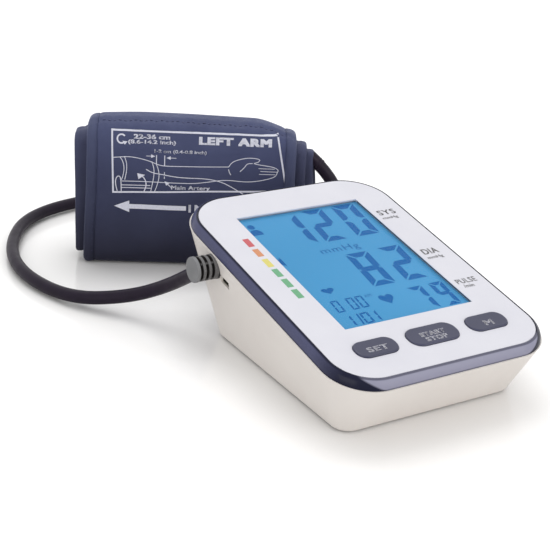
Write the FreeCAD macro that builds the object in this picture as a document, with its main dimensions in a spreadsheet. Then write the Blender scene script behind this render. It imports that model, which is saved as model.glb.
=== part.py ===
import FreeCAD, Part
import Sketcher
import math
import os
import re

# Upper-arm blood pressure monitor: a wedge-shaped desktop unit with a large display and three
# keys, an air plug in its left side, and a rolled fabric cuff on an air hose behind it.
# Millimetres, +Z up, the unit's front towards -Y. Everything stands on the plane Z = 0.

Vector = FreeCAD.Vector
doc = FreeCAD.newDocument("UpperArmMonitor")
sheet = doc.addObject("Spreadsheet::Sheet", "Sizes")
pieces = []


# ---------------------------------------------------------------- sizes

SIZES = {
    "monitor_x": 8.33,  # centre of the unit's base, left to right
    "monitor_y": -59.13,  # centre of the unit's base, front to back
    "cuff_x": -74.0,  # front left foot of the rolled cuff
    "cuff_y": 174.0,  # front left foot of the rolled cuff
    "cuff_turn": -28.5,  # heading of the cuff's long edge, degrees

    "face_tilt": 10.0,  # slope of the front face, degrees
    "face_half": 58.2,  # half width of the face plate
    "face_thick": 2.2,  # thickness of the face plate
    "face_front": 77.0,  # face plate's front edge ahead of the base centre
    "face_height": 36.6,  # height of the face plate's front edge
    "front_radius": 19.5,  # front corner radius of the face plate
    "rear_radius": 23.5,  # rear corner radius of the face plate
    "face_round": 0.5,  # rounded edge of the face plate

    "ring_lip": 0.5,  # width of the trim ring's top edge
    "ring_mid_out": 2.5,  # reach of the trim ring's bulge
    "ring_mid_drop": 1.9,  # depth of the trim ring's bulge below the face
    "ring_out": 3.5,  # reach of the trim ring's lower edge
    "ring_drop": 5.1,  # depth of the trim ring
    "ring_ledge": 2.0,  # ledge under the edge of the face plate
    "fit_gap": 0.1,  # gap round parts that are pressed or laid in

    "rim_out": 4.1,  # reach of the case rim beyond the face plate
    "case_wall": 2.2,  # wall of the lower case
    "base_half": 52.4,  # half width of the base
    "base_length": 122.8,  # length of the base
    "base_radius": 9.4,  # corner radius of the base
    "base_shift": 1.6,  # base's centre right of the centre line
    "base_lift": 0.8,  # height of the base above the surface it stands on
    "base_round": 1.2,  # rounding of the base's lower edge

    "foot_radius": 4.5,  # radius of a rubber foot
    "foot_x": 39.5,  # rubber feet from the centre line
    "foot_y": 48.5,  # rubber feet from the base centre
    "foot_pocket": 0.8,  # depth of a foot's pocket in the base

    "post_radius": 3.3,  # radius of a screw post
    "post_x": 43.4,  # screw posts from the centre line
    "post_front_y": -40.0,  # front screw posts
    "post_rear_y": 35.0,  # rear screw posts
    "post_top": 22.0,  # height where post and boss meet
    "screw_radius": 1.2,  # shank radius of a case screw
    "screw_grip": 7.0,  # length of a case screw in its boss
    "screw_head_radius": 2.1,  # head radius of a case screw
    "screw_head_thick": 1.5,  # head height of a case screw
    "screw_floor": 4.0,  # material between a screw head and the post top
    "screw_gap": 0.1,  # clearance round a screw

    "window_half": 37.8,  # half width of the display window
    "window_front": 37.5,  # front edge of the window up the slope
    "window_length": 106.1,  # length of the display window
    "window_rear": 21.6,  # face plate behind the display window
    "lens_recess": 1.0,  # depth of the lens below the face
    "lens_border": 2.0,  # hidden border of the lens
    "stack_gap": 0.1,  # air between the display's layers
    "glass_border": 1.0,  # hidden border of the display glass
    "glass_thick": 2.2,  # display glass, both panes
    "backlight_thick": 3.0,  # light guide behind the glass
    "frame_wall": 0.9,  # side wall of the display frame
    "frame_floor": 1.2,  # floor of the display frame
    "strip_width": 2.0,  # width of a contact strip

    "board_half": 39.4,  # half width of the circuit board
    "board_front": 5.0,  # front edge of the circuit board up the slope
    "board_rear": 8.4,  # circuit board behind the display window
    "board_thick": 1.6,  # thickness of the circuit board
    "board_screw_radius": 1.0,  # shank radius of a board screw
    "board_screw_inset": 3.5,  # board screws from the board's edges
    "board_screw_grip": 5.0,  # length of a board screw in its post
    "board_post_radius": 2.3,  # radius of a post that carries the board

    "key_row": 20.4,  # centre line of the keys up the slope
    "key_shift": 0.5,  # middle key from the centre line
    "key_pitch": 32.6,  # distance between keys
    "key_rise": 0.9,  # height of a key above the face
    "key_gap": 0.2,  # gap round a key
    "key_travel": 0.6,  # travel of a key
    "key_flange": 1.0,  # retaining flange round a key
    "key_flange_thick": 0.9,  # thickness of a key's flange
    "key_play": 0.15,  # gap between a key's flange and the face plate
    "key_stem_radius": 2.0,  # radius of a key's stem
    "key_crown": 0.7,  # rounding of a key's top edge
    "side_key_half": 11.5,  # half length of an outer key
    "side_key_width": 12.0,  # width of an outer key
    "side_key_corner": 5.4,  # corner radius of an outer key
    "start_key_half": 14.2,  # half length of the middle key
    "start_key_width": 13.6,  # width of the middle key
    "start_key_corner": 6.2,  # corner radius of the middle key
    "switch_side": 6.0,  # side of a tact switch
    "switch_height": 3.5,  # body height of a tact switch
    "actuator_radius": 1.7,  # radius of a tact switch's actuator
    "actuator_rise": 0.8,  # height of a tact switch's actuator
    "switch_gap": 0.3,  # air left between a pressed key's stem and its switch

    "cell_count": 4,  # number of cells
    "cell_radius": 7.1,  # radius of a cell
    "cell_length": 49.2,  # length of a cell's can
    "cell_nub": 1.0,  # length of a cell's positive cap
    "cell_nub_radius": 2.7,  # radius of a cell's positive cap
    "cell_gap": 0.5,  # gap between cells
    "bay_front": 2.0,  # front wall of the battery bay, inside
    "bay_length": 54.2,  # inside length of the battery bay
    "bay_wall": 1.5,  # wall of the battery bay
    "contact_thick": 0.4,  # thickness of a battery contact
    "contact_side": 10.0,  # side of a battery contact
    "spring_radius": 3.2,  # outer radius of a contact spring
    "spring_wire": 0.35,  # wire radius of a contact spring
    "spring_turns": 3,  # turns of a contact spring
    "spring_lean": 20.0,  # taper of a contact spring, degrees

    "cover_front": 6.0,  # front edge of the battery cover
    "cover_half": 30.6,  # half width of the battery cover
    "cover_thick": 1.8,  # thickness of the battery cover
    "cover_lift": 0.2,  # battery cover above the base's lower face
    "cover_tongue": 1.4,  # width of a cover tongue
    "tongue_thick": 0.8,  # thickness of a cover tongue
    "cover_gap": 0.2,  # running gap round the battery cover
    "rail_height": 1.6,  # height of the rail above a tongue
    "rib_count": 5,  # thumb ribs on the battery cover
    "rib_pitch": 2.4,  # distance between thumb ribs

    "plug_y": 45.8,  # air plug's axis behind the base centre
    "plug_z": 45.7,  # air plug's axis above the surface
    "socket_face": 60.6,  # outer face of the air socket from the centre line
    "socket_flange": 6.6,  # flange radius of the air socket
    "socket_flange_thick": 2.0,  # flange thickness of the air socket
    "socket_radius": 5.3,  # barrel radius of the air socket
    "socket_depth": 12.0,  # length of the air socket
    "socket_collar": 1.4,  # collar of the case round the air socket's flange
    "collar_thick": 2.6,  # thickness of that collar behind the flange
    "socket_nipple_back": 1.8,  # air socket's nipple from the socket's inner end
    "nose_radius": 3.2,  # radius of the plug's nose
    "nose_length": 9.0,  # length of the plug's nose
    "nose_gap": 0.08,  # clearance round the plug's nose
    "nose_bore": 1.0,  # air way through the plug's nose
    "plug_gap": 0.3,  # gap between plug and socket flange
    "plug_radius": 6.5,  # radius of the plug's rings
    "plug_core": 4.3,  # radius of the plug between its rings
    "plug_ring": 1.45,  # thickness of a plug ring
    "plug_slot": 1.75,  # gap between plug rings
    "plug_flange": 2.4,  # thickness of the plug's inner flange
    "plug_web": 1.0,  # thickness of the webs between plug rings
    "cap_radius": 6.7,  # radius of the plug's end disc
    "cap_thick": 1.8,  # thickness of the plug's end disc
    "outlet_reach": 6.6,  # hose end from the plug's axis
    "outlet_inset": 6.7,  # hose outlet's axis from the plug's inner face
    "outlet_drop": 35.0,  # hose direction below level at the plug, degrees
    "seal_wire": 0.8,  # section radius of a seal ring
    "seal_squeeze": 0.1,  # air left round a seal ring in its groove

    "port_y": 35.7,  # power port behind the base centre
    "port_z": 40.7,  # power port above the surface
    "port_width": 8.4,  # width of the power port's shell
    "port_height": 3.9,  # height of the power port's shell
    "port_length": 8.5,  # length of the power port's shell
    "port_skin": 0.4,  # sheet thickness of the power port's shell
    "port_face": 58.4,  # mouth of the power port from the centre line
    "port_board_inset": 3.3,  # port board behind the port's mouth
    "port_board_length": 7.0,  # length of the port board
    "port_board_border": 2.2,  # port board beyond the port's shell
    "shelf_inset": 1.8,  # shelf's root in the case wall, behind the port's mouth
    "shelf_length": 8.6,  # length of the shelf under the port board
    "shelf_thick": 1.5,  # thickness of the shelf under the port board

    "pump_y": -17.0,  # pump axis from the base centre
    "pump_z": 17.0,  # pump axis above the surface
    "motor_radius": 11.8,  # radius of the pump motor
    "motor_length": 26.0,  # length of the pump motor
    "pump_x": -14.0,  # outer face of the pump head from the centre line
    "shaft_radius": 1.0,  # radius of the motor shaft
    "shaft_gap": 0.05,  # running clearance of the motor shaft
    "shaft_out": 7.0,  # motor shaft beyond the motor
    "shaft_in": 8.0,  # motor shaft inside the motor
    "cam_radius": 4.0,  # radius of the eccentric
    "cam_throw": 0.8,  # offset of the eccentric
    "cam_length": 4.0,  # length of the eccentric
    "head_radius": 13.2,  # radius of the pump head
    "head_length": 20.0,  # length of the pump head
    "head_wall": 2.0,  # wall of the pump head
    "head_cavity": 9.0,  # depth of the pump head's hollow
    "diaphragm_thick": 1.5,  # thickness of the pump's diaphragm
    "nipple_radius": 1.5,  # radius of a tube nipple
    "nipple_length": 6.0,  # length of a tube nipple
    "shaft_end_gap": 0.3,  # air past the motor shaft's inner end
    "sleeve_thick": 1.0,  # rubber sleeve round the motor
    "sleeve_inset": 3.0,  # motor's ends beyond the rubber sleeve
    "cradle_width": 16.0,  # width of the pad under the motor
    "valve_y": -30.5,  # valve from the base centre
    "valve_side": 11.0,  # side of the valve's yoke
    "valve_height": 15.0,  # height of the valve's yoke
    "plunger_radius": 2.0,  # radius of the valve plunger
    "plunger_gap": 0.05,  # running clearance of the valve plunger
    "plunger_length": 9.0,  # length of the valve plunger
    "plunger_travel": 0.8,  # travel of the valve plunger
    "plunger_end_gap": 0.2,  # air left under a closed valve plunger
    "plunger_rim": 1.0,  # plunger's head beyond its stem
    "plunger_head": 1.5,  # thickness of the plunger's head
    "tube_radius": 2.4,  # outer radius of an inner air tube
    "tube_ease": 0.05,  # clearance between a nipple and the tube on it
    "tube_end_gap": 0.3,  # gap between a tube's end and the part it serves
    "tee_x": -36.5,  # air tee from the centre line
    "tee_y": -12.0,  # air tee from the base centre
    "tee_z": 11.0,  # air tee above the surface
    "tee_arm": 6.0,  # length of a tee limb from the tee's centre
    "sensor_side": 10.0,  # side of the pressure sensor
    "sensor_height": 5.0,  # height of the pressure sensor
    "sensor_lead": 9.0,  # straight tube below the sensor, above the tee

    "cuff_width": 119.0,  # width of the cuff's strip in its outer turn
    "cuff_height": 87.0,  # height of the rolled cuff
    "cuff_depth": 27.0,  # thickness of the rolled cuff
    "wrap_thick": 4.0,  # thickness of one turn of the cuff
    "turn_gap": 0.35,  # air between turns of the cuff
    "roll_radius": 11.0,  # upper corner radius of the rolled cuff
    "roll_low_radius": 3.6,  # lower corner radius of the rolled cuff
    "roll_low_share": 0.28,  # part of a turn's inset by which its lower corners are tighter
    "inner_left": -8.0,  # left edge of the inner turn
    "inner_right": 126.0,  # right edge of the inner turn
    "core_left": 3.0,  # left edge of the folded core
    "core_right": 127.3,  # right edge of the folded core
    "core_wall": 2.4,  # fabric round the bladder
    "core_round": 2.3,  # rounding of the folded core's long edges
    "core_end": 8.0,  # core's sewn ends beyond the bladder
    "bladder_gap": 0.2,  # air between the bladder and the fabric
    "binding_width": 6.0,  # width of an edge binding
    "binding_thick": 0.5,  # thickness of an edge binding
    "patch_thick": 0.8,  # thickness of the hook patch
    "patch_inset": 8.0,  # hook patch inside the edge bindings
    "patch_low": 18.0,  # hook patch above the surface
    "patch_width": 34.0,  # width of the hook patch
    "bar_wire": 1.5,  # radius of the cuff's bar wire
    "bar_width": 11.0,  # width of the cuff's wire bar
    "hem_thick": 2.2,  # core's hem beyond the bar's upper wire

    "hose_radius": 3.7,  # outer radius of the air hose
    "grommet_radius": 4.7,  # radius of the hose grommet at the cuff
    "grommet_length": 5.0,  # length of the hose grommet
    "grommet_wall": 0.8,  # grommet's tip beyond the hose's radius
    "grommet_fall": 41.4,  # grommet direction below level, degrees
    "grommet_pin": 3.0,  # bladder's nipple inside the grommet
    "hose_drop": 22.0,  # hose grommet's tip below the top of the cuff
    "hose_inset": 13.5,  # hose grommet behind the cuff's front
    "hose_lead": 22.0,  # hose's first straight run, from the grommet
    "plug_lead": 29.0,  # hose's last straight run, into the plug
}

for row, (alias, number) in enumerate(SIZES.items(), 1):
    sheet.set(f"A{row}", alias.replace("_", " "))
    sheet.set(f"B{row}", str(number))
    sheet.setAlias(f"B{row}", alias)
doc.recompute()


def value(alias):
    """Number held in a named cell."""
    return float(sheet.get(alias))


def formula(text):
    """Point every size named in a formula at its cell."""
    return re.sub(r"[a-z][a-z_]*", lambda m: "Sizes." + m.group() if m.group() in SIZES else m.group(),
                  str(text))


def bind(thing, **formulas):
    """Bind properties of a document object to formulas."""
    for name, text in formulas.items():
        thing.setExpression(name, formula(text))
    return thing


# ---------------------------------------------------------------- places

def spot(x=0, y=0, z=0, axis=(0, 0, 1), angle=0):
    """Placement formula: a shift with a turn about an axis, in degrees."""
    turn = f"create(<<rotation>>; create(<<vector>>; {axis[0]}; {axis[1]}; {axis[2]}); {angle})"
    return f"create(<<placement>>; create(<<vector>>; {x}; {y}; {z}); {turn})"


BASE = spot("monitor_x", "monitor_y", 0)
FACE = spot("monitor_x", "monitor_y - face_front", "face_height", (1, 0, 0), "face_tilt")
CUFF = spot("monitor_x + cuff_x", "monitor_y + cuff_y", 0, (0, 0, 1), "cuff_turn")
PORT = f"{BASE} * {spot(0, 'port_y', 'port_z', (1, 0, 0), 'face_tilt')}"
UP_X = dict(axis=(0, 1, 0), angle=90)
DOWN_X = dict(axis=(0, 1, 0), angle=-90)
ALONG_Y = dict(axis=(1, 0, 0), angle=-90)
FLIPPED = dict(axis=(1, 0, 0), angle=180)


def place(thing, frame, **where):
    """Put an object into one of the frames, bound to the sizes."""
    thing.setExpression("Placement", formula(f"{frame} * {spot(**where)}"))
    return thing


# ---------------------------------------------------------------- primitives and booleans

def block(name, frame, x, y, z, length, width, height, **turn):
    """Box with its lowest corner at a spot of a frame."""
    box = doc.addObject("Part::Box", name)
    bind(box, Length=length, Width=width, Height=height)
    return place(box, frame, x=x, y=y, z=z, **turn)


def slab(name, frame, half, y, z, width, height):
    """Box centred left to right on its frame."""
    return block(name, frame, f"-({half})", y, z, f"2 * ({half})", width, height)


def rod(name, frame, x, y, z, radius, height, **turn):
    """Cylinder that grows from a spot of a frame."""
    cylinder = doc.addObject("Part::Cylinder", name)
    bind(cylinder, Radius=radius, Height=height)
    return place(cylinder, frame, x=x, y=y, z=z, **turn)


def ring(name, frame, x, y, z, radius, wire, **turn):
    """Torus about a spot of a frame."""
    torus = doc.addObject("Part::Torus", name)
    bind(torus, Radius1=radius, Radius2=wire)
    return place(torus, frame, x=x, y=y, z=z, **turn)


def fuse(name, *parts):
    """Union of touching or overlapping shapes."""
    union = doc.addObject("Part::MultiFuse", name)
    union.Shapes = list(parts)
    return union


def cut(name, base, *tools):
    """Base less every tool."""
    result = doc.addObject("Part::Cut", name)
    result.Base = base
    result.Tool = tools[0] if len(tools) == 1 else fuse(name + "_tools", *tools)
    return result


def common(name, first, second):
    """What two shapes share."""
    result = doc.addObject("Part::Common", name)
    result.Base = first
    result.Tool = second
    return result


def group(name, parts):
    """Separate solids that share one node."""
    compound = doc.addObject("Part::Compound", name)
    compound.Links = list(parts)
    return compound


def soften(name, shape, radius, chosen):
    """Round the edges that the test chooses."""
    doc.recompute()
    result = doc.addObject("Part::Fillet", name)
    result.Base = shape
    picked = [i + 1 for i, edge in enumerate(shape.Shape.Edges) if chosen(edge)]
    result.Edges = [(number, value(radius), value(radius)) for number in picked]
    return result


def piece(shape, label):
    """Mark an object as one of the assembly's nodes."""
    shape.Label = label
    pieces.append(shape)
    return shape


# ---------------------------------------------------------------- outlines

def rounded_outline(name, frame, half, length, front_radius, rear_radius, x=0, y=0, z=0):
    """Sketch of a rectangle with round corners: front edge on the sketch's X axis."""
    sketch = doc.addObject("Sketcher::SketchObject", name)
    draw_rounded(sketch, half, length, front_radius, rear_radius)
    return place(sketch, frame, x=x, y=y, z=z)


def draw_rounded(sketch, half, length, front_radius, rear_radius):
    """Draw and constrain the rounded rectangle, with every size bound to the sheet."""
    wide, deep, near, far = 40.0, 90.0, 8.0, 9.0
    corners = [((wide - near, near), near, -90), ((wide - far, deep - far), far, 0),
               ((far - wide, deep - far), far, 90), ((near - wide, near), near, 180)]
    lines = [((near - wide, 0), (wide - near, 0)), ((wide, near), (wide, deep - far)),
             ((wide - far, deep), (far - wide, deep)), ((-wide, deep - far), (-wide, near))]
    for start, end in lines:
        sketch.addGeometry(Part.LineSegment(Vector(*start, 0), Vector(*end, 0)), False)
    for centre, radius, start in corners:
        circle = Part.Circle(Vector(*centre, 0), Vector(0, 0, 1), radius)
        arc = Part.ArcOfCircle(circle, math.radians(start), math.radians(start + 90))
        sketch.addGeometry(arc, False)
    for corner in range(4):
        sketch.addConstraint(Sketcher.Constraint("Tangent", corner, 2, 4 + corner, 1))
        sketch.addConstraint(Sketcher.Constraint("Tangent", 4 + corner, 2, (corner + 1) % 4, 1))
    sketch.addConstraint(Sketcher.Constraint("Horizontal", 0))
    sketch.addConstraint(Sketcher.Constraint("Horizontal", 2))
    sketch.addConstraint(Sketcher.Constraint("Vertical", 1))
    sketch.addConstraint(Sketcher.Constraint("Vertical", 3))
    sketch.addConstraint(Sketcher.Constraint("PointOnObject", 0, 1, -1))
    sketch.addConstraint(Sketcher.Constraint("Equal", 4, 7))
    sketch.addConstraint(Sketcher.Constraint("Equal", 5, 6))
    drive(sketch, Sketcher.Constraint("DistanceX", -1, 1, 1, 1, wide), half)
    drive(sketch, Sketcher.Constraint("DistanceX", 3, 1, -1, 1, wide), half)
    drive(sketch, Sketcher.Constraint("DistanceY", -1, 1, 2, 1, deep), length)
    drive(sketch, Sketcher.Constraint("Radius", 4, near), front_radius)
    drive(sketch, Sketcher.Constraint("Radius", 5, far), rear_radius)


def drive(sketch, constraint, text):
    """Add a dimension and bind it to a formula."""
    index = sketch.addConstraint(constraint)
    sketch.setExpression(f"Constraints[{index}]", formula(text))


FACE_LENGTH = "(window_front + window_length + window_rear)"


def face_outline(name, grow, drop):
    """Outline of the face plate, grown all round, at a depth below the face."""
    return rounded_outline(name, FACE, f"face_half + {grow}", f"{FACE_LENGTH} + 2 * ({grow})",
                           f"front_radius + {grow}", f"rear_radius + {grow}", y=f"-({grow})", z=f"-({drop})")


def base_outline(name, shrink, height):
    """Outline of the base, drawn in all round, at a height."""
    return rounded_outline(name, BASE, f"base_half - {shrink}", f"base_length - 2 * ({shrink})",
                           f"base_radius - {shrink}", f"base_radius - {shrink}",
                           x="base_shift", y=f"{shrink} - base_length / 2", z=height)


def prism(name, sketch, depth):
    """Solid that grows downwards from an outline."""
    result = doc.addObject("Part::Extrusion", name)
    result.Base = sketch
    result.DirMode = "Normal"
    result.Solid = True
    result.Reversed = True
    return bind(result, LengthFwd=depth)


def loft(name, outlines, ruled=True):
    """Solid skinned over outlines."""
    result = doc.addObject("Part::Loft", name)
    result.Sections = outlines
    result.Solid = True
    result.Ruled = ruled
    return result


# ---------------------------------------------------------------- PartDesign pieces

def body(name):
    """Empty body."""
    return doc.addObject("PartDesign::Body", name)


def sketch_on(part, plane, name, offset=None):
    """Sketch on one of a body's origin planes, moved along its normal by a formula."""
    sketch = part.newObject("Sketcher::SketchObject", name)
    home = next(f for f in part.Origin.OriginFeatures if f.Role == plane)
    sketch.AttachmentSupport = [(home, "")]
    sketch.MapMode = "FlatFace"
    if offset is not None:
        sketch.setExpression("AttachmentOffset.Base.z", formula(offset))
    return sketch


def pad(part, sketch, name, length, reverse=False):
    """Pad a sketch of the body."""
    feature = part.newObject("PartDesign::Pad", name)
    feature.Profile = sketch
    feature.Reversed = reverse
    return bind(feature, Length=length)


def circle_sketch(part, name, radius, offset):
    """Circle on the body's axis, at a height."""
    sketch = sketch_on(part, "XY_Plane", name, offset)
    sketch.addGeometry(Part.Circle(Vector(0, 0, 0), Vector(0, 0, 1), 2.0), False)
    sketch.addConstraint(Sketcher.Constraint("Coincident", 0, 3, -1, 1))
    drive(sketch, Sketcher.Constraint("Radius", 0, 2.0), radius)
    return sketch


def pill_sketch(part, name, shape, grow, offset):
    """Key outline grown all round, centred on the body's axis, at a height."""
    half, width, corner = (f"{shape}_{word}" for word in ("half", "width", "corner"))
    width = f"{width} + 2 * {grow}"
    sketch = sketch_on(part, "XY_Plane", name, offset)
    draw_rounded(sketch, f"{half} + {grow}", width, f"{corner} + {grow}", f"{corner} + {grow}")
    sketch.setExpression("AttachmentOffset.Base.y", formula(f"-({width}) / 2"))
    return sketch


def key_x(slot):
    """Key centre across the face: slot -1, 0 or 1."""
    return f"key_shift + {slot} * key_pitch"


def key(label, slot, shape):
    """Key cap with a crown, a retaining flange and a stem above its switch."""
    part = body(label)
    cap_depth = "key_rise + face_thick + key_play"
    cap = pad(part, pill_sketch(part, label + "_top", shape, "0", "key_rise"), label + "_cap", cap_depth, True)
    doc.recompute()
    top = [f"Edge{i + 1}" for i, e in enumerate(cap.Shape.Edges)
           if e.BoundBox.ZMin > value("key_rise") - 0.01]
    crown = part.newObject("PartDesign::Fillet", label + "_crown")
    crown.Base = (cap, top)
    bind(crown, Radius="key_crown")
    skirt = pill_sketch(part, label + "_skirt", shape, "key_flange", "-face_thick - key_play")
    pad(part, skirt, label + "_flange", "key_flange_thick", True)
    stem_top = "-face_thick - key_play - key_flange_thick"
    stem = circle_sketch(part, label + "_foot", "key_stem_radius", stem_top)
    reach = f"{BOARD_TOP} - {ACTUATOR_TOP} - key_travel - switch_gap + {stem_top}"
    pad(part, stem, label + "_stem", reach, True)
    place(part, FACE, x=key_x(slot), y="key_row")
    return piece(part, label)


# ---------------------------------------------------------------- housing

ACTUATOR_TOP = "(switch_height + actuator_rise)"
LENS_TOP = "lens_recess"
LENS_THICK = "(face_thick - lens_recess)"
GLASS_TOP = "(face_thick + stack_gap)"
BACKLIGHT_TOP = "(face_thick + 2 * stack_gap + glass_thick)"
FRAME_FLOOR_TOP = "(face_thick + 3 * stack_gap + glass_thick + backlight_thick)"
BOARD_TOP = "(face_thick + 3 * stack_gap + glass_thick + backlight_thick + frame_floor)"


def window_block(name, border, drop, height):
    """Block over the display window with a border all round, its top at a drop below the face."""
    return block(name, FACE, f"-window_half - ({border})", f"window_front - ({border})",
                 f"-({drop}) - ({height})", f"2 * (window_half + {border})", f"window_length + 2 * ({border})", height)


POSTS = [(side, row) for side in (-1, 1) for row in ("post_front_y", "post_rear_y")]


def post_rods(name, radius, bottom, height):
    """One upright rod at each screw post."""
    return [rod(f"{name}_{i}", BASE, f"{side} * post_x", row, bottom, radius, height)
            for i, (side, row) in enumerate(POSTS)]


def face_plate():
    """White top plate with its window, key holes, lens rebate and screw bosses."""
    plate = prism("plate_blank", face_outline("plate_outline", "0", "0"), "face_thick")
    top_edge = lambda e: e.BoundBox.DiagonalLength > 1 and on_face_top(e)
    rounded = soften("plate_rounded", plate, "face_round", top_edge)
    holes = [window_block("window_hole", "0", "-1", "face_thick + 2"),
             window_block("lens_rebate", "lens_border + fit_gap", "lens_recess", "face_thick")]
    for slot, shape in KEYS:
        corner = f"{shape}_corner + key_gap"
        grown = rounded_outline(f"key_hole_outline_{slot + 1}", FACE, f"{shape}_half + key_gap",
                                f"{shape}_width + 2 * key_gap", corner, corner, x=key_x(slot),
                                y=f"key_row - {shape}_width / 2 - key_gap", z="1")
        holes.append(prism(f"key_hole_{slot + 1}", grown, "face_thick + 2"))
    plate_cut = cut("plate_cut", rounded, *holes)
    bosses = [face_boss(f"boss_{i}", side, row) for i, (side, row) in enumerate(POSTS)]
    bosses += [board_post(f"board_post_{i}", side, along) for i, (side, along) in enumerate(BOARD_SCREWS)]
    return piece(fuse("face_plate_shape", plate_cut, *bosses), "face_plate")


def board_post(name, side, along):
    """Post under the face plate that a corner of the circuit board is screwed to."""
    across = f"{side} * (board_half - board_screw_inset)"
    outer = rod(name + "_rod", FACE, across, along, f"-{BOARD_TOP}", "board_post_radius",
                f"{BOARD_TOP} - face_thick / 2")
    hole = rod(name + "_hole", FACE, across, along, f"-{BOARD_TOP} - 1", "board_screw_radius + screw_gap / 2",
               "board_screw_grip + 1.5")
    return cut(name, outer, hole)


def on_face_top(edge):
    """True for an edge that lies in the face's top plane."""
    tilt = math.radians(value("face_tilt"))
    normal = Vector(0, -math.sin(tilt), math.cos(tilt))
    origin = Vector(value("monitor_x"), value("monitor_y") - value("face_front"), value("face_height"))
    ends = [vertex.Point for vertex in edge.Vertexes] + [edge.CenterOfMass]
    return all(abs((point - origin).dot(normal)) < 0.01 for point in ends)


def face_boss(name, side, row):
    """Upright boss from a screw post up into the face plate, with a screw hole."""
    under_face = f"face_height + ({row} + face_front) * tan(face_tilt) - face_thick / 2"
    outer = rod(name + "_rod", BASE, f"{side} * post_x", row, "post_top", "post_radius",
                f"{under_face} - post_top")
    hole = rod(name + "_hole", BASE, f"{side} * post_x", row, "post_top - 1", "screw_radius + screw_gap / 2",
               "screw_grip + 2")
    return cut(name, outer, hole)


def trim_ring():
    """Navy ring round the face plate: bulged outside, with a ledge under the plate."""
    skins = [face_outline("ring_top", "ring_lip", "0"), face_outline("ring_mid", "ring_mid_out", "ring_mid_drop"),
             face_outline("ring_low", "ring_out", "ring_drop")]
    bulge = loft("ring_blank", skins, ruled=False)
    seat = prism("ring_seat", face_outline("ring_seat_outline", "fit_gap", "-1"), "face_thick + 1")
    way = prism("ring_way", face_outline("ring_way_outline", "-ring_ledge", "-1"), "ring_drop + 2")
    return piece(cut("trim_ring_shape", bulge, seat, way), "trim_ring")


def case_shell():
    """Hollow tub from the small flat base up to the tilted rim."""
    outer = loft("case_outer", [base_outline("case_foot", "base_round", "base_lift"),
                                base_outline("case_sole", "0", "base_lift + base_round"),
                                face_outline("case_rim", "rim_out", "ring_drop")])
    inner = loft("case_inner", [base_outline("case_floor", "case_wall", "base_lift + case_wall"),
                                face_outline("case_mouth", "rim_out - case_wall", "ring_drop - 0.001")])
    return cut("case_shell", outer, inner)


def battery_bay():
    """Walls of the battery bay, and the rails above the cover's tongues."""
    outer_half = f"{BAY_HALF} + bay_wall"
    walls = slab("bay_outer", BASE, outer_half, "bay_front - bay_wall", "base_lift + 0.5",
                 "bay_length + 2 * bay_wall", f"{BAY_TOP} + bay_wall - base_lift - 0.5")
    rails = slab("bay_rails", BASE, "cover_half + cover_tongue + 2", "bay_front - bay_wall", "base_lift + 0.5",
                 "bay_length + bay_wall", f"{TONGUE_TOP} + cover_gap + rail_height - base_lift - 0.5")
    return [walls, rails]


def battery_room():
    """Room for the cells, the cover, its tongues and the way out to the rear."""
    way_out = "base_length / 2 + 4 - cover_front"
    return [slab("bay_inner", BASE, BAY_HALF, "bay_front", f"{TONGUE_TOP} - 0.1", "bay_length",
                 f"{BAY_TOP} - {TONGUE_TOP} + 0.1"),
            slab("cover_way", BASE, "cover_half + cover_gap", "cover_front - cover_gap", "-1", way_out,
                 f"{TONGUE_TOP} + cover_gap + 1"),
            slab("tongue_way", BASE, "cover_half + cover_tongue + cover_gap", "cover_front - cover_gap",
                 f"{TONGUE_TOP} - tongue_thick - cover_gap", way_out, "tongue_thick + 2 * cover_gap")]


BAY_HALF = "(cell_count * (cell_radius + cell_gap / 2) + cell_gap)"
TONGUE_TOP = "(base_lift + cover_lift + cover_thick)"
CELL_AXIS = f"({TONGUE_TOP} + cell_gap + cell_radius)"
BAY_TOP = f"({CELL_AXIS} + cell_radius + cell_gap)"


def lower_case():
    """Lower case: shell, screw posts, battery bay, port shelf, and every hole through it."""
    shell = case_shell()
    posts = post_rods("post", "post_radius", "base_lift + 0.5", "post_top - base_lift - 0.5")
    shelf = block("port_shelf", PORT, "-port_face + shelf_inset", "-port_width / 2 - port_board_border",
                  "-port_height / 2 - board_thick - shelf_thick", "shelf_length",
                  "port_width + 2 * port_board_border", "shelf_thick")
    collar = rod("collar_rod", BASE, "-socket_face + socket_flange_thick", "plug_y", "plug_z",
                 "socket_flange + socket_collar", "collar_thick", **UP_X)
    collar = common("socket_collar_ring", collar, doc.getObject("case_outer"))
    filled = fuse("case_filled", shell, *posts, *battery_bay(), shelf, collar)
    heads = post_rods("screw_way", "screw_head_radius + screw_gap", "-1", "post_top - screw_floor + 1")
    shanks = post_rods("shank_way", "screw_radius + screw_gap", "-1", "post_top + 2")
    flange_way = rod("flange_way", BASE, "-socket_face + socket_flange_thick", "plug_y", "plug_z",
                     "socket_flange + fit_gap", "20", **DOWN_X)
    barrel_way = rod("barrel_way", BASE, "-socket_face + socket_flange_thick + 8", "plug_y", "plug_z",
                     "socket_radius + fit_gap", "20", **DOWN_X)
    tools = heads + shanks + battery_room() + foot_rods("foot_way", "foot_radius + fit_gap",
                                                        "-1", "1 + base_lift + foot_pocket")
    tools += [flange_way, barrel_way, port_block("port_way", "-port_face - 6", "port_length + 6", "0.2")]
    return piece(cut("lower_case_shape", filled, *tools), "lower_case")


def foot_rods(name, radius, bottom, height):
    """One upright rod at each rubber foot."""
    return [rod(f"{name}_{i}", BASE, f"{side} * foot_x", f"{end} * foot_y", bottom, radius, height)
            for i, (side, end) in enumerate((s, e) for s in (-1, 1) for e in (-1, 1))]


def rubber_feet():
    """Four rubber feet pressed into their pockets."""
    return piece(group("feet", foot_rods("foot", "foot_radius", "0", "base_lift + foot_pocket")), "rubber_feet")


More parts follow.
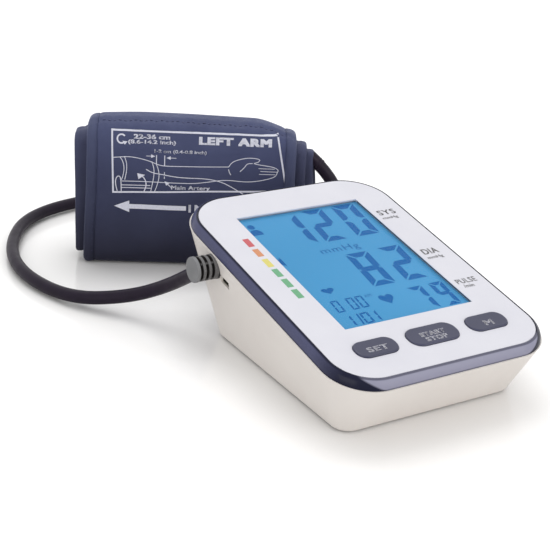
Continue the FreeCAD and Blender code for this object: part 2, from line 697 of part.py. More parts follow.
def case_screws():
    """Four screws from below through the posts into the bosses."""
    head_top = "post_top - screw_floor"
    heads = post_rods("screw_head", "screw_head_radius", f"{head_top} - screw_head_thick", "screw_head_thick")
    shanks = post_rods("screw_shank", "screw_radius", f"{head_top} - screw_head_thick / 2",
                       "screw_floor + screw_head_thick / 2 + screw_grip")
    slots = [block(f"screw_slot_{i}", BASE, f"{side} * post_x - screw_head_radius * 0.7", f"{row} - 0.3",
                   f"{head_top} - screw_head_thick - 0.1", "screw_head_radius * 1.4", "0.6", "0.7")
             for i, (side, row) in enumerate(POSTS)]
    screws = [cut(f"screw_{i}", fuse(f"screw_blank_{i}", heads[i], shanks[i]), slots[i]) for i in range(4)]
    return piece(group("screws", screws), "case_screws")


# ---------------------------------------------------------------- display and board

def display():
    """Lens, display glass, light guide and the frame that holds them."""
    piece(window_block("lens_block", "lens_border", LENS_TOP, LENS_THICK), "display_lens")
    piece(window_block("glass_block", "glass_border", GLASS_TOP, "glass_thick"), "lcd_glass")
    piece(window_block("light_block", "glass_border", BACKLIGHT_TOP, "backlight_thick"), "backlight_panel")
    outer = window_block("frame_outer", "glass_border + stack_gap + frame_wall", GLASS_TOP,
                         f"{BOARD_TOP} - {GLASS_TOP}")
    inner = window_block("frame_inner", "glass_border + stack_gap", f"{GLASS_TOP} - 1",
                         f"{FRAME_FLOOR_TOP} - {GLASS_TOP} + 1")
    slots = [block(f"strip_way_{end}", FACE, "-window_half + 4", strip_y(end), f"-{BOARD_TOP} - 1",
                   "2 * window_half - 8", "strip_width + 2 * stack_gap", "frame_floor + 2") for end in (0, 1)]
    piece(cut("frame_shape", outer, inner, *slots), "lcd_frame")
    strips = [block(f"strip_{end}", FACE, "-window_half + 4 + stack_gap", f"{strip_y(end)} + stack_gap",
                    f"-{BOARD_TOP}", "2 * (window_half - 4 - stack_gap)", "strip_width", "frame_floor")
              for end in (0, 1)]
    piece(group("strips", strips), "contact_strips")


def strip_y(end):
    """Front edge of a contact strip's slot: 0 at the front of the glass, 1 at its rear."""
    return "window_front + 1" if end == 0 else "window_front + window_length - 1 - strip_width"


def main_board():
    """Circuit board with its cut-outs' screws, switches and chips."""
    board = block("board_blank", FACE, "-board_half", "board_front", f"-{BOARD_TOP} - board_thick",
                  "2 * board_half", BOARD_LENGTH, "board_thick")
    ways = [rod(f"board_way_{i}", FACE, f"{side} * (board_half - board_screw_inset)", along, f"-{BOARD_TOP} - board_thick - 1",
                "board_screw_radius + screw_gap", "board_thick + 2") for i, (side, along) in enumerate(BOARD_SCREWS)]
    piece(cut("board_shape", board, *ways), "main_board")
    screws = []
    for i, (side, along) in enumerate(BOARD_SCREWS):
        head = rod(f"board_head_{i}", FACE, f"{side} * (board_half - board_screw_inset)", along,
                   f"-{BOARD_TOP} - board_thick - 1.2", "board_screw_radius * 1.9", "1.2")
        shank = rod(f"board_shank_{i}", FACE, f"{side} * (board_half - board_screw_inset)", along,
                    f"-{BOARD_TOP} - board_thick - 0.5", "board_screw_radius",
                    "board_thick + 0.5 + board_screw_grip")
        screws.append(fuse(f"board_screw_{i}", head, shank))
    piece(group("board_screw_set", screws), "board_screws")


BOARD_LENGTH = "(window_front + window_length + board_rear - board_front)"
BOARD_SCREWS = [(side, along) for side in (-1, 1)
                for along in ("board_front + board_screw_inset",
                              f"board_front + {BOARD_LENGTH} - board_screw_inset")]
KEYS = [(-1, "side_key"), (0, "start_key"), (1, "side_key")]


def tact_switches():
    """One switch under each key."""
    switches = []
    for slot, _ in KEYS:
        case = block(f"switch_case_{slot + 1}", FACE, f"{key_x(slot)} - switch_side / 2", "key_row - switch_side / 2",
                     f"-{BOARD_TOP}", "switch_side", "switch_side", "switch_height")
        knob = rod(f"switch_knob_{slot + 1}", FACE, key_x(slot), "key_row", f"-{BOARD_TOP} + switch_height - 0.5",
                   "actuator_radius", "actuator_rise + 0.5")
        switches.append(fuse(f"switch_{slot + 1}", case, knob))
    piece(group("switch_set", switches), "tact_switches")


def under_board(label, x, y, length, width, height):
    """Component soldered to the board's underside."""
    return piece(block(label + "_block", FACE, x, y, f"-{BOARD_TOP} - board_thick - {height}",
                       length, width, height), label)


def board_parts():
    """Controller chip, pressure sensor and buzzer under the board."""
    under_board("controller_chip", "6", "board_front + 60", "14", "14", "1.6")
    sensor = block("sensor_case", FACE, "tee_x - sensor_side / 2", f"{SENSOR_V} - sensor_side / 2",
                   f"-{BOARD_TOP} - board_thick - sensor_height", "sensor_side", "sensor_side", "sensor_height")
    nose = rod("sensor_nose", FACE, "tee_x", SENSOR_V, f"-{BOARD_TOP} - board_thick - sensor_height + 0.5",
               "nipple_radius", "nipple_length + 0.5", **FLIPPED)
    piece(fuse("sensor_shape", sensor, nose), "pressure_sensor")
    can = rod("buzzer_can", FACE, "26", "board_front + 30", f"-{BOARD_TOP} - board_thick", "6", "4.5", **FLIPPED)
    hole = rod("buzzer_hole", FACE, "26", "board_front + 30", f"-{BOARD_TOP} - board_thick - 3", "0.8", "3", **FLIPPED)
    piece(cut("buzzer_shape", can, hole), "buzzer")


SENSOR_V = ("((tee_y + face_front) * cos(face_tilt)"
            " + (tee_z + sensor_lead - face_height) * sin(face_tilt))")


# ---------------------------------------------------------------- power

def port_block(name, x, length, grow):
    """Block round the power port's axis, level with the sloping rim."""
    return block(name, PORT, x, f"-port_width / 2 - {grow}", f"-port_height / 2 - {grow}",
                 length, f"port_width + 2 * {grow}", f"port_height + 2 * {grow}")


def power_port():
    """Metal shell of the power port with its tongue, on a small board of its own."""
    shell = cut("port_shell", port_block("port_outer", "-port_face", "port_length", "0"),
                port_block("port_inner", "-port_face - 1", "port_length", "-port_skin"))
    tongue = block("port_tongue", PORT, "-port_face + 1", "-port_width / 2 + 1.2", "-0.4",
                   "port_length - 1.5", "port_width - 2.4", "0.8")
    piece(fuse("usb_shape", shell, tongue), "power_socket")
    board = block("port_board_block", PORT, "-port_face + port_board_inset", "-port_width / 2 - port_board_border",
                  "-port_height / 2 - board_thick", "port_board_length", "port_width + 2 * port_board_border",
                  "board_thick")
    piece(board, "port_board")


def cell_x(index):
    """Cell axis across the bay."""
    return f"({index} - (cell_count - 1) / 2) * (2 * cell_radius + cell_gap)"


def cells():
    """Cells side by side, turned end for end in turn, with their contacts and springs."""
    springs, contacts = [], []
    for index in range(int(value("cell_count"))):
        flip = index % 2
        start = "bay_front + bay_length - contact_thick" if flip else "bay_front + contact_thick"
        sign = "-" if flip else ""
        turn = dict(axis=(1, 0, 0), angle=90) if flip else ALONG_Y
        reach = "(bay_length - 2 * contact_thick - cell_length - cell_nub)"
        can = rod(f"cell_can_{index + 1}", BASE, cell_x(index), f"{start} + {sign}{reach}", CELL_AXIS,
                  "cell_radius", "cell_length", **turn)
        nub = rod(f"cell_cap_{index + 1}", BASE, cell_x(index), f"{start} + {sign}({reach} + cell_length - 1)",
                  CELL_AXIS, "cell_nub_radius", "cell_nub + 1", **turn)
        piece(fuse(f"cell_{index + 1}", can, nub), f"battery_cell_{index + 1}")
        springs.append(contact_spring(index, start, reach, turn))
        for end in (0, 1):
            y = f"bay_front + {end} * (bay_length - contact_thick)"
            contacts.append(block(f"contact_{index}_{end}", BASE, f"{cell_x(index)} - contact_side / 2", y,
                                  f"{CELL_AXIS} - contact_side / 2", "contact_side", "contact_thick", "contact_side"))
    piece(group("spring_set", springs), "contact_springs")
    piece(group("contact_set", contacts), "battery_contacts")


def contact_spring(index, start, reach, turn):
    """Conical coil that presses a cell's flat end."""
    coil = doc.addObject("Part::Helix", f"spring_path_{index + 1}")
    bind(coil, Height=f"{reach} - 2 * spring_wire", Pitch=f"({reach} - 2 * spring_wire) / spring_turns",
         Radius="spring_radius - spring_wire", Angle="-spring_lean")
    round_wire = doc.addObject("Part::Circle", f"spring_wire_{index + 1}")
    bind(round_wire, Radius="spring_wire")
    round_wire.setExpression("Placement", formula(spot("spring_radius - spring_wire", 0, 0, (1, 0, 0), 90)))
    sweep = doc.addObject("Part::Sweep", f"spring_{index + 1}")
    sweep.Sections = [round_wire]
    sweep.Spine = (coil, ["Edge1"])
    sweep.Solid = True
    sweep.Frenet = True
    sign = "-" if turn is not ALONG_Y else ""
    return place(sweep, BASE, x=cell_x(index), y=f"{start} + {sign}spring_wire", z=CELL_AXIS, **turn)


def battery_cover():
    """Sliding cover with side tongues and thumb ribs on its underside."""
    part = body("battery_cover_body")
    low = sketch_on(part, "XY_Plane", "cover_outline")
    draw_rounded(low, "cover_half", f"{COVER_LENGTH}", "1", "0.8")
    pad(part, low, "cover_plate", "cover_thick")
    high = sketch_on(part, "XY_Plane", "tongue_outline", "cover_thick - tongue_thick")
    draw_rounded(high, "cover_half + cover_tongue", f"{COVER_LENGTH} - 4", "1", "1")
    pad(part, high, "cover_tongues", "tongue_thick")
    doc.recompute()
    groove = sketch_on(part, "XY_Plane", "groove_outline")
    draw_rounded(groove, "8", "1.2", "0.5", "0.5")
    groove.setExpression("AttachmentOffset.Base.y", formula(f"{COVER_LENGTH} - 5 - (rib_count - 1) * rib_pitch"))
    pocket = part.newObject("PartDesign::Pocket", "thumb_groove")
    pocket.Profile = groove
    pocket.Reversed = True
    bind(pocket, Length="0.6")
    doc.recompute()
    rows = part.newObject("PartDesign::LinearPattern", "thumb_grooves")
    rows.Originals = [pocket]
    rows.Direction = (groove, ["V_Axis"])
    bind(rows, Length="(rib_count - 1) * rib_pitch", Occurrences="rib_count")
    part.Tip = rows
    place(part, BASE, y="cover_front", z="base_lift + cover_lift")
    return piece(part, "battery_cover")


COVER_LENGTH = "(base_length / 2 - cover_front - 0.4)"


# ---------------------------------------------------------------- air system

def air_socket():
    """Socket in the left wall: flange, barrel, bore and a nipple that points down."""
    flange = rod("socket_flange_rod", BASE, "-socket_face", "plug_y", "plug_z", "socket_flange",
                 "socket_flange_thick", **UP_X)
    barrel = rod("socket_barrel", BASE, "-socket_face", "plug_y", "plug_z", "socket_radius", "socket_depth", **UP_X)
    nipple = rod("socket_nipple", BASE, NIPPLE_X, "plug_y", "plug_z", "nipple_radius",
                 "socket_radius + nipple_length", **FLIPPED)
    bore = rod("socket_bore", BASE, "-socket_face - 1", "plug_y", "plug_z", "nose_radius + nose_gap",
               "nose_length + 1.3", **UP_X)
    air = rod("socket_air", BASE, NIPPLE_X, "plug_y", "plug_z", "nipple_radius * 0.5",
              "socket_radius + nipple_length + 1", **FLIPPED)
    piece(cut("socket_shape", fuse("socket_blank", flange, barrel, nipple), bore, air), "air_socket")


NIPPLE_X = "(-socket_face + socket_depth - socket_nipple_back)"
PLUG_X = "(-socket_face - plug_gap)"


def plug_body():
    """Ribbed elbow: nose, inner flange, two rings, and a hose outlet behind the end disc."""
    steps = [("plug_flange", "plug_radius"), ("plug_slot", "plug_core"), ("plug_ring", "plug_radius"),
             ("plug_slot", "plug_core"), ("plug_ring", "plug_radius"), ("plug_slot", "plug_core")]
    start, drums = PLUG_X, []
    for index, (length, radius) in enumerate(steps):
        drums.append(rod(f"plug_step_{index}", BASE, start, "plug_y", "plug_z", radius, length, **DOWN_X))
        start = f"{start} - {length}"
    nose = rod("plug_nose", BASE, f"{PLUG_X} - 0.5", "plug_y", "plug_z", "nose_radius",
               "nose_length + plug_gap + 0.5", **UP_X)
    webs = [block(f"plug_web_{lean}", f"{BASE} * {spot(start, 'plug_y', 'plug_z', (1, 0, 0), lean)}",
                  "plug_slot / 2", "-plug_web / 2", "0.4 - plug_radius", f"{PLUG_X} - ({start}) - 1",
                  "plug_web", "2 * plug_radius - 0.8") for lean in (45, -45)]
    outlet = rod("plug_outlet", f"{BASE} * {OUTLET}", "0", "0", "0", "hose_radius", "outlet_reach")
    trim = rod("plug_trim", f"{BASE} * {OUTLET}", "0", "0", "outlet_reach", "hose_radius + 0.4", "5")
    air = rod("plug_air", BASE, f"{OUTLET_X}", "plug_y", "plug_z", "nose_bore", "40", **UP_X)
    gland = rod("plug_gland", f"{BASE} * {OUTLET}", "0", "0", "0", "nose_bore", "20")
    groove = cut("seal_groove", rod("groove_out", BASE, f"{SEAL_X} - seal_wire", "plug_y", "plug_z",
                                    "nose_radius + 1", "2 * seal_wire", **UP_X),
                 rod("groove_in", BASE, f"{SEAL_X} - seal_wire - 1", "plug_y", "plug_z",
                     "nose_radius - 2 * seal_wire", "2 * seal_wire + 2", **UP_X))
    blank = fuse("plug_blank", *drums, nose, *webs, outlet)
    piece(cut("plug_shape", blank, trim, air, gland, groove), "plug_body")
    cap = rod("cap_disc", BASE, start, "plug_y", "plug_z", "cap_radius", "cap_thick", **DOWN_X)
    outer_rim = lambda e: e.BoundBox.XMax < e.BoundBox.XMin + 0.01 and e.BoundBox.XMin < cap.Shape.BoundBox.XMin + 0.01
    piece(soften("cap_shape", cap, "face_round", outer_rim), "plug_cap")
    piece(ring("seal_ring", BASE, SEAL_X, "plug_y", "plug_z", "nose_radius - seal_wire - seal_squeeze / 2",
               "seal_wire - seal_squeeze / 2", **UP_X), "plug_seal")


OUTLET_X = "(-socket_face - plug_gap - outlet_inset)"
OUTLET = spot(OUTLET_X, "plug_y", "plug_z", (1, 0, 0), "-90 - outlet_drop")
SEAL_X = "(-socket_face + nose_length * 0.6)"


def pump():
    """Diaphragm pump lying across the case: motor, sleeve, cradle, shaft, eccentric and head."""
    can = rod("motor_can", BASE, MOTOR_X, "pump_y", "pump_z", "motor_radius", "motor_length", **UP_X)
    bore = rod("motor_bore", BASE, f"{MOTOR_X} - 1", "pump_y", "pump_z", "shaft_radius + shaft_gap",
               "shaft_in + shaft_end_gap + 1", **UP_X)
    piece(cut("motor_shape", can, bore), "pump_motor")
    wrap = rod("sleeve_outer", BASE, f"{MOTOR_X} + sleeve_inset", "pump_y", "pump_z", "motor_radius + sleeve_thick",
               "motor_length - 2 * sleeve_inset", **UP_X)
    core = rod("sleeve_inner", BASE, f"{MOTOR_X}", "pump_y", "pump_z", "motor_radius", "motor_length", **UP_X)
    piece(cut("sleeve_shape", wrap, core), "motor_sleeve")
    cradle = block("cradle_block", BASE, f"{MOTOR_X} + sleeve_inset", "pump_y - cradle_width / 2", CASE_FLOOR,
                   "motor_length - 2 * sleeve_inset", "cradle_width", f"pump_z - motor_radius / 2 - {CASE_FLOOR}")
    hollow = rod("cradle_hollow", BASE, f"{MOTOR_X} - 1", "pump_y", "pump_z", "motor_radius + sleeve_thick",
                 "motor_length + 2", **UP_X)
    piece(cut("cradle_shape", cradle, hollow), "pump_cradle")
    piece(rod("shaft_rod", BASE, f"{MOTOR_X} - shaft_out", "pump_y", "pump_z", "shaft_radius",
              "shaft_in + shaft_out", **UP_X), "motor_shaft")
    disc = rod("cam_disc", BASE, f"{MOTOR_X} - shaft_out", "pump_y", "pump_z + cam_throw", "cam_radius",
               "cam_length", **UP_X)
    hub_way = rod("cam_way", BASE, f"{MOTOR_X} - shaft_out - 1", "pump_y", "pump_z", "shaft_radius",
                  "cam_length + 2", **UP_X)
    piece(cut("cam_shape", disc, hub_way), "pump_eccentric")
    pump_head()


def pump_head():
    """Pump head with its hollow, its nipple level with the tee, and the diaphragm inside."""
    drum = rod("head_drum", BASE, "pump_x", "pump_y", "pump_z", "head_radius", "head_length", **UP_X)
    cavity = rod("head_room", BASE, f"{MOTOR_X} - head_wall - head_cavity", "pump_y", "pump_z",
                 "head_radius - head_wall", "head_cavity", **UP_X)
    neck = rod("head_neck", BASE, f"{MOTOR_X} - head_wall - 1", "pump_y", "pump_z", "shaft_radius * 2",
               "head_wall + 2", **UP_X)
    outlet = rod("head_nipple", BASE, "pump_x + 1", "tee_y", "tee_z", "nipple_radius", "nipple_length + 1", **DOWN_X)
    piece(cut("head_shape", fuse("head_blank", drum, outlet), cavity, neck), "pump_head")
    piece(rod("diaphragm_disc", BASE, f"{MOTOR_X} - head_wall - head_cavity", "pump_y", "pump_z",
              "head_radius - head_wall", "diaphragm_thick", **UP_X), "pump_diaphragm")


MOTOR_X = "(pump_x + head_length)"
CASE_FLOOR = "(base_lift + case_wall)"


def valve():
    """Release valve: yoke with a well and a spout level with the tee, and the plunger in the well."""
    yoke = block("yoke_block", BASE, "tee_x - valve_side / 2", "valve_y - valve_side / 2", CASE_FLOOR,
                 "valve_side", "valve_side", "valve_height")
    well = rod("yoke_well", BASE, "tee_x", "valve_y", f"{WELL_FLOOR}", "plunger_radius + plunger_gap",
               "plunger_length + 1")
    spout = rod("yoke_spout", BASE, "tee_x", "valve_y + valve_side / 2 - 0.5", "tee_z", "nipple_radius",
                "nipple_length + 0.5", **ALONG_Y)
    piece(cut("yoke_shape", fuse("yoke_blank", yoke, spout), well), "valve_body")
    rest = f"{WELL_FLOOR} + plunger_travel + plunger_end_gap"
    stem = rod("plunger_stem", BASE, "tee_x", "valve_y", rest, "plunger_radius", "plunger_length")
    knob = rod("plunger_knob", BASE, "tee_x", "valve_y", f"{rest} + plunger_length", "plunger_radius + plunger_rim",
               "plunger_head")
    piece(fuse("plunger_shape", stem, knob), "valve_plunger")


WELL_FLOOR = f"({CASE_FLOOR} + valve_height - plunger_length)"


def bent_path(name, points):
    """Wire of straight runs joined by tangent arcs, each arc as large as its two runs allow."""
    edges, start = [], points[0]
    for i in range(1, len(points) - 1):
        back, ahead = points[i - 1] - points[i], points[i + 1] - points[i]
        shorter = min(back.Length, ahead.Length)
        trim = 0.45 * shorter
        turn = math.pi - back.getAngle(ahead)
        enter = points[i] + Vector(back).normalize() * trim
        leave = points[i] + Vector(ahead).normalize() * trim
        radius = trim / math.tan(turn / 2)
        middle_line = (Vector(back).normalize() + Vector(ahead).normalize()).normalize()
        middle = points[i] + middle_line * (radius / math.cos(turn / 2) - radius)
        print(f"{name} bend {i}: radius {radius:.1f} mm, turn {math.degrees(turn):.0f} degrees")
        edges.append(Part.LineSegment(start, enter).toShape())
        edges.append(Part.Arc(enter, middle, leave).toShape())
        start = leave
    edges.append(Part.LineSegment(start, points[-1]).toShape())
    return Part.Wire(edges)


def tube(name, label, points, radius, bore=0):
    """Round tube along a bent path."""
    path = bent_path(label, points)
    heading = points[1] - points[0]
    skins = []
    for reach in (radius, bore):
        if reach:
            circle = Part.Wire([Part.makeCircle(reach, points[0], heading)])
            skins.append(path.makePipeShell([circle], True, False))
    solid = skins[0].cut(skins[1]) if bore else skins[0]
    section = math.pi * (radius ** 2 - bore ** 2)
    print(f"{label}: length {path.Length:.1f} mm, volume ratio {solid.Volume / section / path.Length:.4f}")
    thing = doc.addObject("Part::Feature", name)
    thing.Shape = solid
    thing.Placement = FreeCAD.Placement()
    return piece(thing, label)


def on_base(x, y, z):
    """Point of the unit's frame in the assembly's frame."""
    return Vector(value("monitor_x") + x, value("monitor_y") + y, z)


def air_tee():
    """Tee with four limbs: to the pump, the valve, the socket and the pressure sensor."""
    hub = doc.addObject("Part::Sphere", "tee_hub")
    bind(hub, Radius="nipple_radius + 0.6")
    place(hub, BASE, x="tee_x", y="tee_y", z="tee_z")
    limbs = [rod(f"tee_limb_{index}", BASE, "tee_x", "tee_y", "tee_z", "nipple_radius", "tee_arm", **turn)
             for index, turn in enumerate((UP_X, ALONG_Y, dict(axis=(1, 0, 0), angle=90), {}))]
    piece(fuse("tee_shape", hub, *limbs), "air_tee")


def straight_tube(label, x, y, z, length, turn):
    """Straight piece of soft tube between two nipples in line."""
    outer = rod(label + "_outer", BASE, x, y, z, "tube_radius", length, **turn)
    inner = rod(label + "_inner", BASE, x, y, z, "nipple_radius + tube_ease", length, **turn)
    piece(cut(label + "_shape", outer, inner), label)


def inner_tubes():
    """Soft tubes from the tee to the pump, the valve, the socket and the sensor."""
    straight_tube("pump_tube", "tee_x + tube_radius", "tee_y", "tee_z",
                  "pump_x - tube_end_gap - tee_x - tube_radius", UP_X)
    valve_end = "valve_y + valve_side / 2 + tube_end_gap"
    straight_tube("valve_tube", "tee_x", valve_end, "tee_z", f"tee_y - tube_radius - ({valve_end})", ALONG_Y)
    radius, bore = value("tube_radius"), value("nipple_radius") + value("tube_ease")
    tee = Vector(value("tee_x"), value("tee_y"), value("tee_z"))
    above = tee + Vector(0, 0, value("sensor_lead"))
    depth = sum(value(name) for name in ("face_thick", "glass_thick", "backlight_thick", "frame_floor",
                                         "board_thick", "sensor_height", "tube_end_gap")) + 3 * value("stack_gap")
    lean = math.radians(value("face_tilt"))
    down = Vector(0, math.sin(lean), -math.cos(lean))
    face_point = Vector(0, -value("face_front"), value("face_height"))
    root = above - down * ((above - face_point).dot(down) - depth)
    tube("sensor_tube_shape", "sensor_tube",
         [on_base(*root), on_base(*above), on_base(*(tee + Vector(0, 0, radius)))], radius, bore)
    nipple_x = value("socket_nipple_back")
    nipple_x = value("socket_depth") - value("socket_face") - nipple_x
    plug_y, low = value("plug_y"), value("plug_z") - value("socket_radius") - value("tube_end_gap")
    tube("socket_tube_shape", "socket_tube",
         [on_base(tee.x, tee.y + radius, tee.z), on_base(tee.x, 8, tee.z), on_base(tee.x - 0.6, 27, 12.5),
          on_base(tee.x - 1, plug_y, 15), on_base(nipple_x, plug_y, 31), on_base(nipple_x, plug_y, low)],
         radius, bore)


# ---------------------------------------------------------------- cuff and hose

def roll_outline(name, inset, x):
    """Outline of a turn of the roll, standing upright across the roll's axis."""
    sketch = doc.addObject("Sketcher::SketchObject", name)
    draw_rounded(sketch, f"cuff_depth / 2 - ({inset})", f"cuff_height - 2 * ({inset})",
                 f"roll_low_radius - roll_low_share * ({inset})", f"roll_radius - ({inset})")
    frame = f"{CUFF} * {spot(x, 'cuff_depth / 2', inset, (0, 0, 1), 90)}"
    return place(sketch, frame, axis=(1, 0, 0), angle=90)


def roll_prism(name, inset, left, right):
    """Solid roll between two planes across its axis."""
    result = doc.addObject("Part::Extrusion", name)
    result.Base = roll_outline(name + "_outline", inset, left)
    result.DirMode = "Normal"
    result.Solid = True
    return bind(result, LengthFwd=f"{right} - ({left})")


INNER = "(wrap_thick + turn_gap)"
CORE = "(2 * (wrap_thick + turn_gap))"


def cuff_roll():
    """Two turns of the strip round a folded core that holds the bladder."""
    piece(cut("outer_turn", roll_prism("outer_solid", "0", "0", "cuff_width"),
              roll_prism("outer_room", "wrap_thick", "-1", "cuff_width + 1")), "cuff_outer_turn")
    piece(cut("inner_turn", roll_prism("inner_solid", INNER, "inner_left", "inner_right"),
              roll_prism("inner_room", f"{INNER} + wrap_thick", "inner_left - 1", "inner_right + 1")),
          "cuff_inner_turn")


def core_slab(name, inset, left, right):
    """Flat slab inside the roll, above the wire bar: the folded core and what it holds."""
    low = f"{CORE} + bar_width - bar_wire - hem_thick + {inset}"
    return block(name, CUFF, left, f"{CORE} + {inset}", low, f"{right} - ({left})",
                 f"cuff_depth - 2 * ({CORE} + {inset})", f"cuff_height - {CORE} - {inset} - ({low})")


BAR_HIGH = f"({CORE} + bar_width - bar_wire)"
HOSE_HEIGHT = "(cuff_height - hose_drop)"
HOSE_ROOT_Z = f"({HOSE_HEIGHT} + grommet_length * sin(grommet_fall))"


def cuff_core():
    """Folded core with a hem for the wire bar, and the air bladder inside."""
    sleeve = core_slab("core_outer", "0", "core_left", "core_right")
    level = lambda e: e.BoundBox.ZLength < 0.01 and e.Length > value("core_right") * 0.9
    rounded = soften("core_rounded", sleeve, "core_round", level)
    room = block("core_room", CUFF, "core_left + core_end", f"{CORE} + core_wall", f"{ROOM_LOW}",
                 "core_right - core_left - 2 * core_end", f"cuff_depth - 2 * ({CORE} + core_wall)",
                 f"cuff_height - {CORE} - core_wall - {ROOM_LOW}")
    hem = rod("core_hem", CUFF, "core_left - 1", "cuff_depth / 2", BAR_HIGH, "bar_wire + turn_gap",
              "core_right - core_left + 2", **UP_X)
    way = rod("bladder_way", CUFF, "core_right - core_end - 1", "hose_inset", HOSE_ROOT_Z,
              "nipple_radius + turn_gap", "core_end + 2", **UP_X)
    piece(cut("core_shape", rounded, room, way, hem), "cuff_core")
    bladder = block("bladder_slab", CUFF, "core_left + core_end + turn_gap", f"{CORE} + core_wall + bladder_gap",
                    f"{ROOM_LOW} + bladder_gap", "core_right - core_left - 2 * core_end - 2 * turn_gap",
                    f"cuff_depth - 2 * ({CORE} + core_wall + bladder_gap)",
                    f"cuff_height - {CORE} - core_wall - {ROOM_LOW} - 2 * bladder_gap")
    nipple = rod("bladder_nipple", CUFF, "core_right - core_end - turn_gap - 1", "hose_inset", HOSE_ROOT_Z,
                 "nipple_radius", "core_end + turn_gap + 1 + grommet_pin", **UP_X)
    piece(fuse("bladder_shape", bladder, nipple), "air_bladder")
    wire_bar()


ROOM_LOW = f"({BAR_HIGH} + bar_wire + turn_gap + core_wall)"


def wire_bar():
    """Closed wire bar at the strip's end: one long side in the core's hem, one free below it."""
    left, right = "(core_left - bar_wire - turn_gap)", "(core_right + bar_wire + turn_gap)"
    low = f"({CORE} + bar_wire)"
    sides = [rod(f"bar_side_{index}", CUFF, left, "cuff_depth / 2", level, "bar_wire", f"{right} - {left}", **UP_X)
             for index, level in enumerate((low, BAR_HIGH))]
    ends = [rod(f"bar_end_{index}", CUFF, x, "cuff_depth / 2", low, "bar_wire", f"{BAR_HIGH} - {low}")
            for index, x in enumerate((left, right))]
    knees = []
    for index, (x, z) in enumerate((x, z) for x in (left, right) for z in (low, BAR_HIGH)):
        knee = doc.addObject("Part::Sphere", f"bar_knee_{index}")
        bind(knee, Radius="bar_wire")
        knees.append(place(knee, CUFF, x=x, y="cuff_depth / 2", z=z))
    piece(fuse("bar_shape", *sides, *ends, *knees), "cuff_bar")


def edge_bindings():
    """Sewn bindings round both edges of the outer turn."""
    for label, left, right in (("edge_binding_left", "-binding_thick", "binding_width"),
                               ("edge_binding_right", "cuff_width - binding_width", "cuff_width + binding_thick")):
        outer = roll_prism(label + "_outer", "-binding_thick", left, right)
        strip = roll_prism(label + "_strip", "0", "0", "cuff_width")
        room = roll_prism(label + "_room", "wrap_thick", "-5", "cuff_width + 5")
        lifted = block(label + "_floor", CUFF, f"{left} - 1", "-5", "-5", f"{right} - ({left}) + 2", "cuff_depth + 10", "5")
        piece(cut(label + "_shape", outer, strip, room, lifted), label)


def patches():
    """Fastening patches on the back of the roll."""
    hook = block("hook_block", CUFF, "binding_width + patch_inset", "cuff_depth", "patch_low",
                 "cuff_width - 2 * (binding_width + patch_inset)", "patch_thick", "patch_width")
    piece(hook, "hook_patch")


def grommet():
    """Short tapered boot on the core's end, where the hose leaves."""
    cone = doc.addObject("Part::Cone", "grommet_cone")
    bind(cone, Radius1="grommet_radius", Radius2="hose_radius + grommet_wall", Height="2 * grommet_length")
    place(cone, GROMMET, z="-2 * grommet_length")
    trim = block("grommet_trim", CUFF, "core_right - 40", "hose_inset - 20", f"{HOSE_HEIGHT} - 30", "40", "40", "60")
    pin = rod("grommet_pin", CUFF, "core_right - 1", "hose_inset", HOSE_ROOT_Z,
              "nipple_radius + tube_ease", "grommet_pin + 1 + turn_gap", **UP_X)
    piece(cut("grommet_shape", cone, trim, pin), "hose_grommet")


HOSE_ROOT_X = "(core_right + grommet_length * cos(grommet_fall))"
GROMMET = f"{CUFF} * {spot(HOSE_ROOT_X, 'hose_inset', HOSE_HEIGHT, (0, 1, 0), '90 + grommet_fall')}"


HOSE_ROUTE = [(80, 119, 31), (97, 134, 15), (103, 162, 5.5), (93, 194, 4.3), (66, 226, 4.3),
              (20, 252, 4.3), (-34, 265, 4.3), (-82, 251, 4.3), (-109, 211, 4.3), (-119, 168, 4.3),
              (-108, 124, 4.3), (-84, 98, 11.0)]


def air_hose():
    """Hose from the cuff's grommet, down behind the unit, round the cuff and up to the plug."""
    turn, fall = (math.radians(value(name)) for name in ("cuff_turn", "grommet_fall"))
    inset, along = value("hose_inset"), value("core_right") + value("grommet_length") * math.cos(fall)
    start = on_base(value("cuff_x") + along * math.cos(turn) - inset * math.sin(turn),
                    value("cuff_y") + along * math.sin(turn) + inset * math.cos(turn),
                    value("cuff_height") - value("hose_drop"))
    leave = Vector(math.cos(fall) * math.cos(turn), math.cos(fall) * math.sin(turn), -math.sin(fall))
    drop, reach = math.radians(value("outlet_drop")), value("outlet_reach")
    arrive = Vector(0, math.cos(drop), -math.sin(drop))
    outlet_x = -value("socket_face") - value("plug_gap") - value("outlet_inset")
    end = on_base(outlet_x, value("plug_y"), value("plug_z")) + arrive * reach
    points = [start, start + leave * value("hose_lead")] + [on_base(*point) for point in HOSE_ROUTE]
    points += [end + arrive * value("plug_lead"), end]
    tube("hose_shape", "air_hose", points, value("hose_radius"))


# ---------------------------------------------------------------- assembly

lower_case()
trim_ring()
face_plate()
rubber_feet()
case_screws()
display()
main_board()
tact_switches()
board_parts()
key("set_key", -1, "side_key")
key("start_stop_key", 0, "start_key")
key("memory_key", 1, "side_key")
power_port()
cells()
battery_cover()
air_socket()
plug_body()
pump()
valve()
air_tee()
inner_tubes()
cuff_roll()
cuff_core()
edge_bindings()
patches()
grommet()
air_hose()
doc.recompute()


def check_and_write():
    """Stop at a failed object or an invalid shape, then write one STEP file for each piece."""
    failed = [thing.Label for thing in doc.Objects
              if any(word in state for state in thing.State for word in ("Invalid", "Error"))]
    if failed:
        raise RuntimeError(f"failed objects: {failed}")
    os.makedirs("parts", exist_ok=True)
    for thing in pieces:
        if thing.Shape.isNull() or not thing.Shape.isValid():
            raise RuntimeError(f"{thing.Label} has no valid shape")
        thing.Shape.exportStep(f"parts/{thing.Label}.step")
        print(f"{thing.Label}: {len(thing.Shape.Solids)} solid(s), {thing.Shape.Volume:.0f} mm3")


check_and_write()
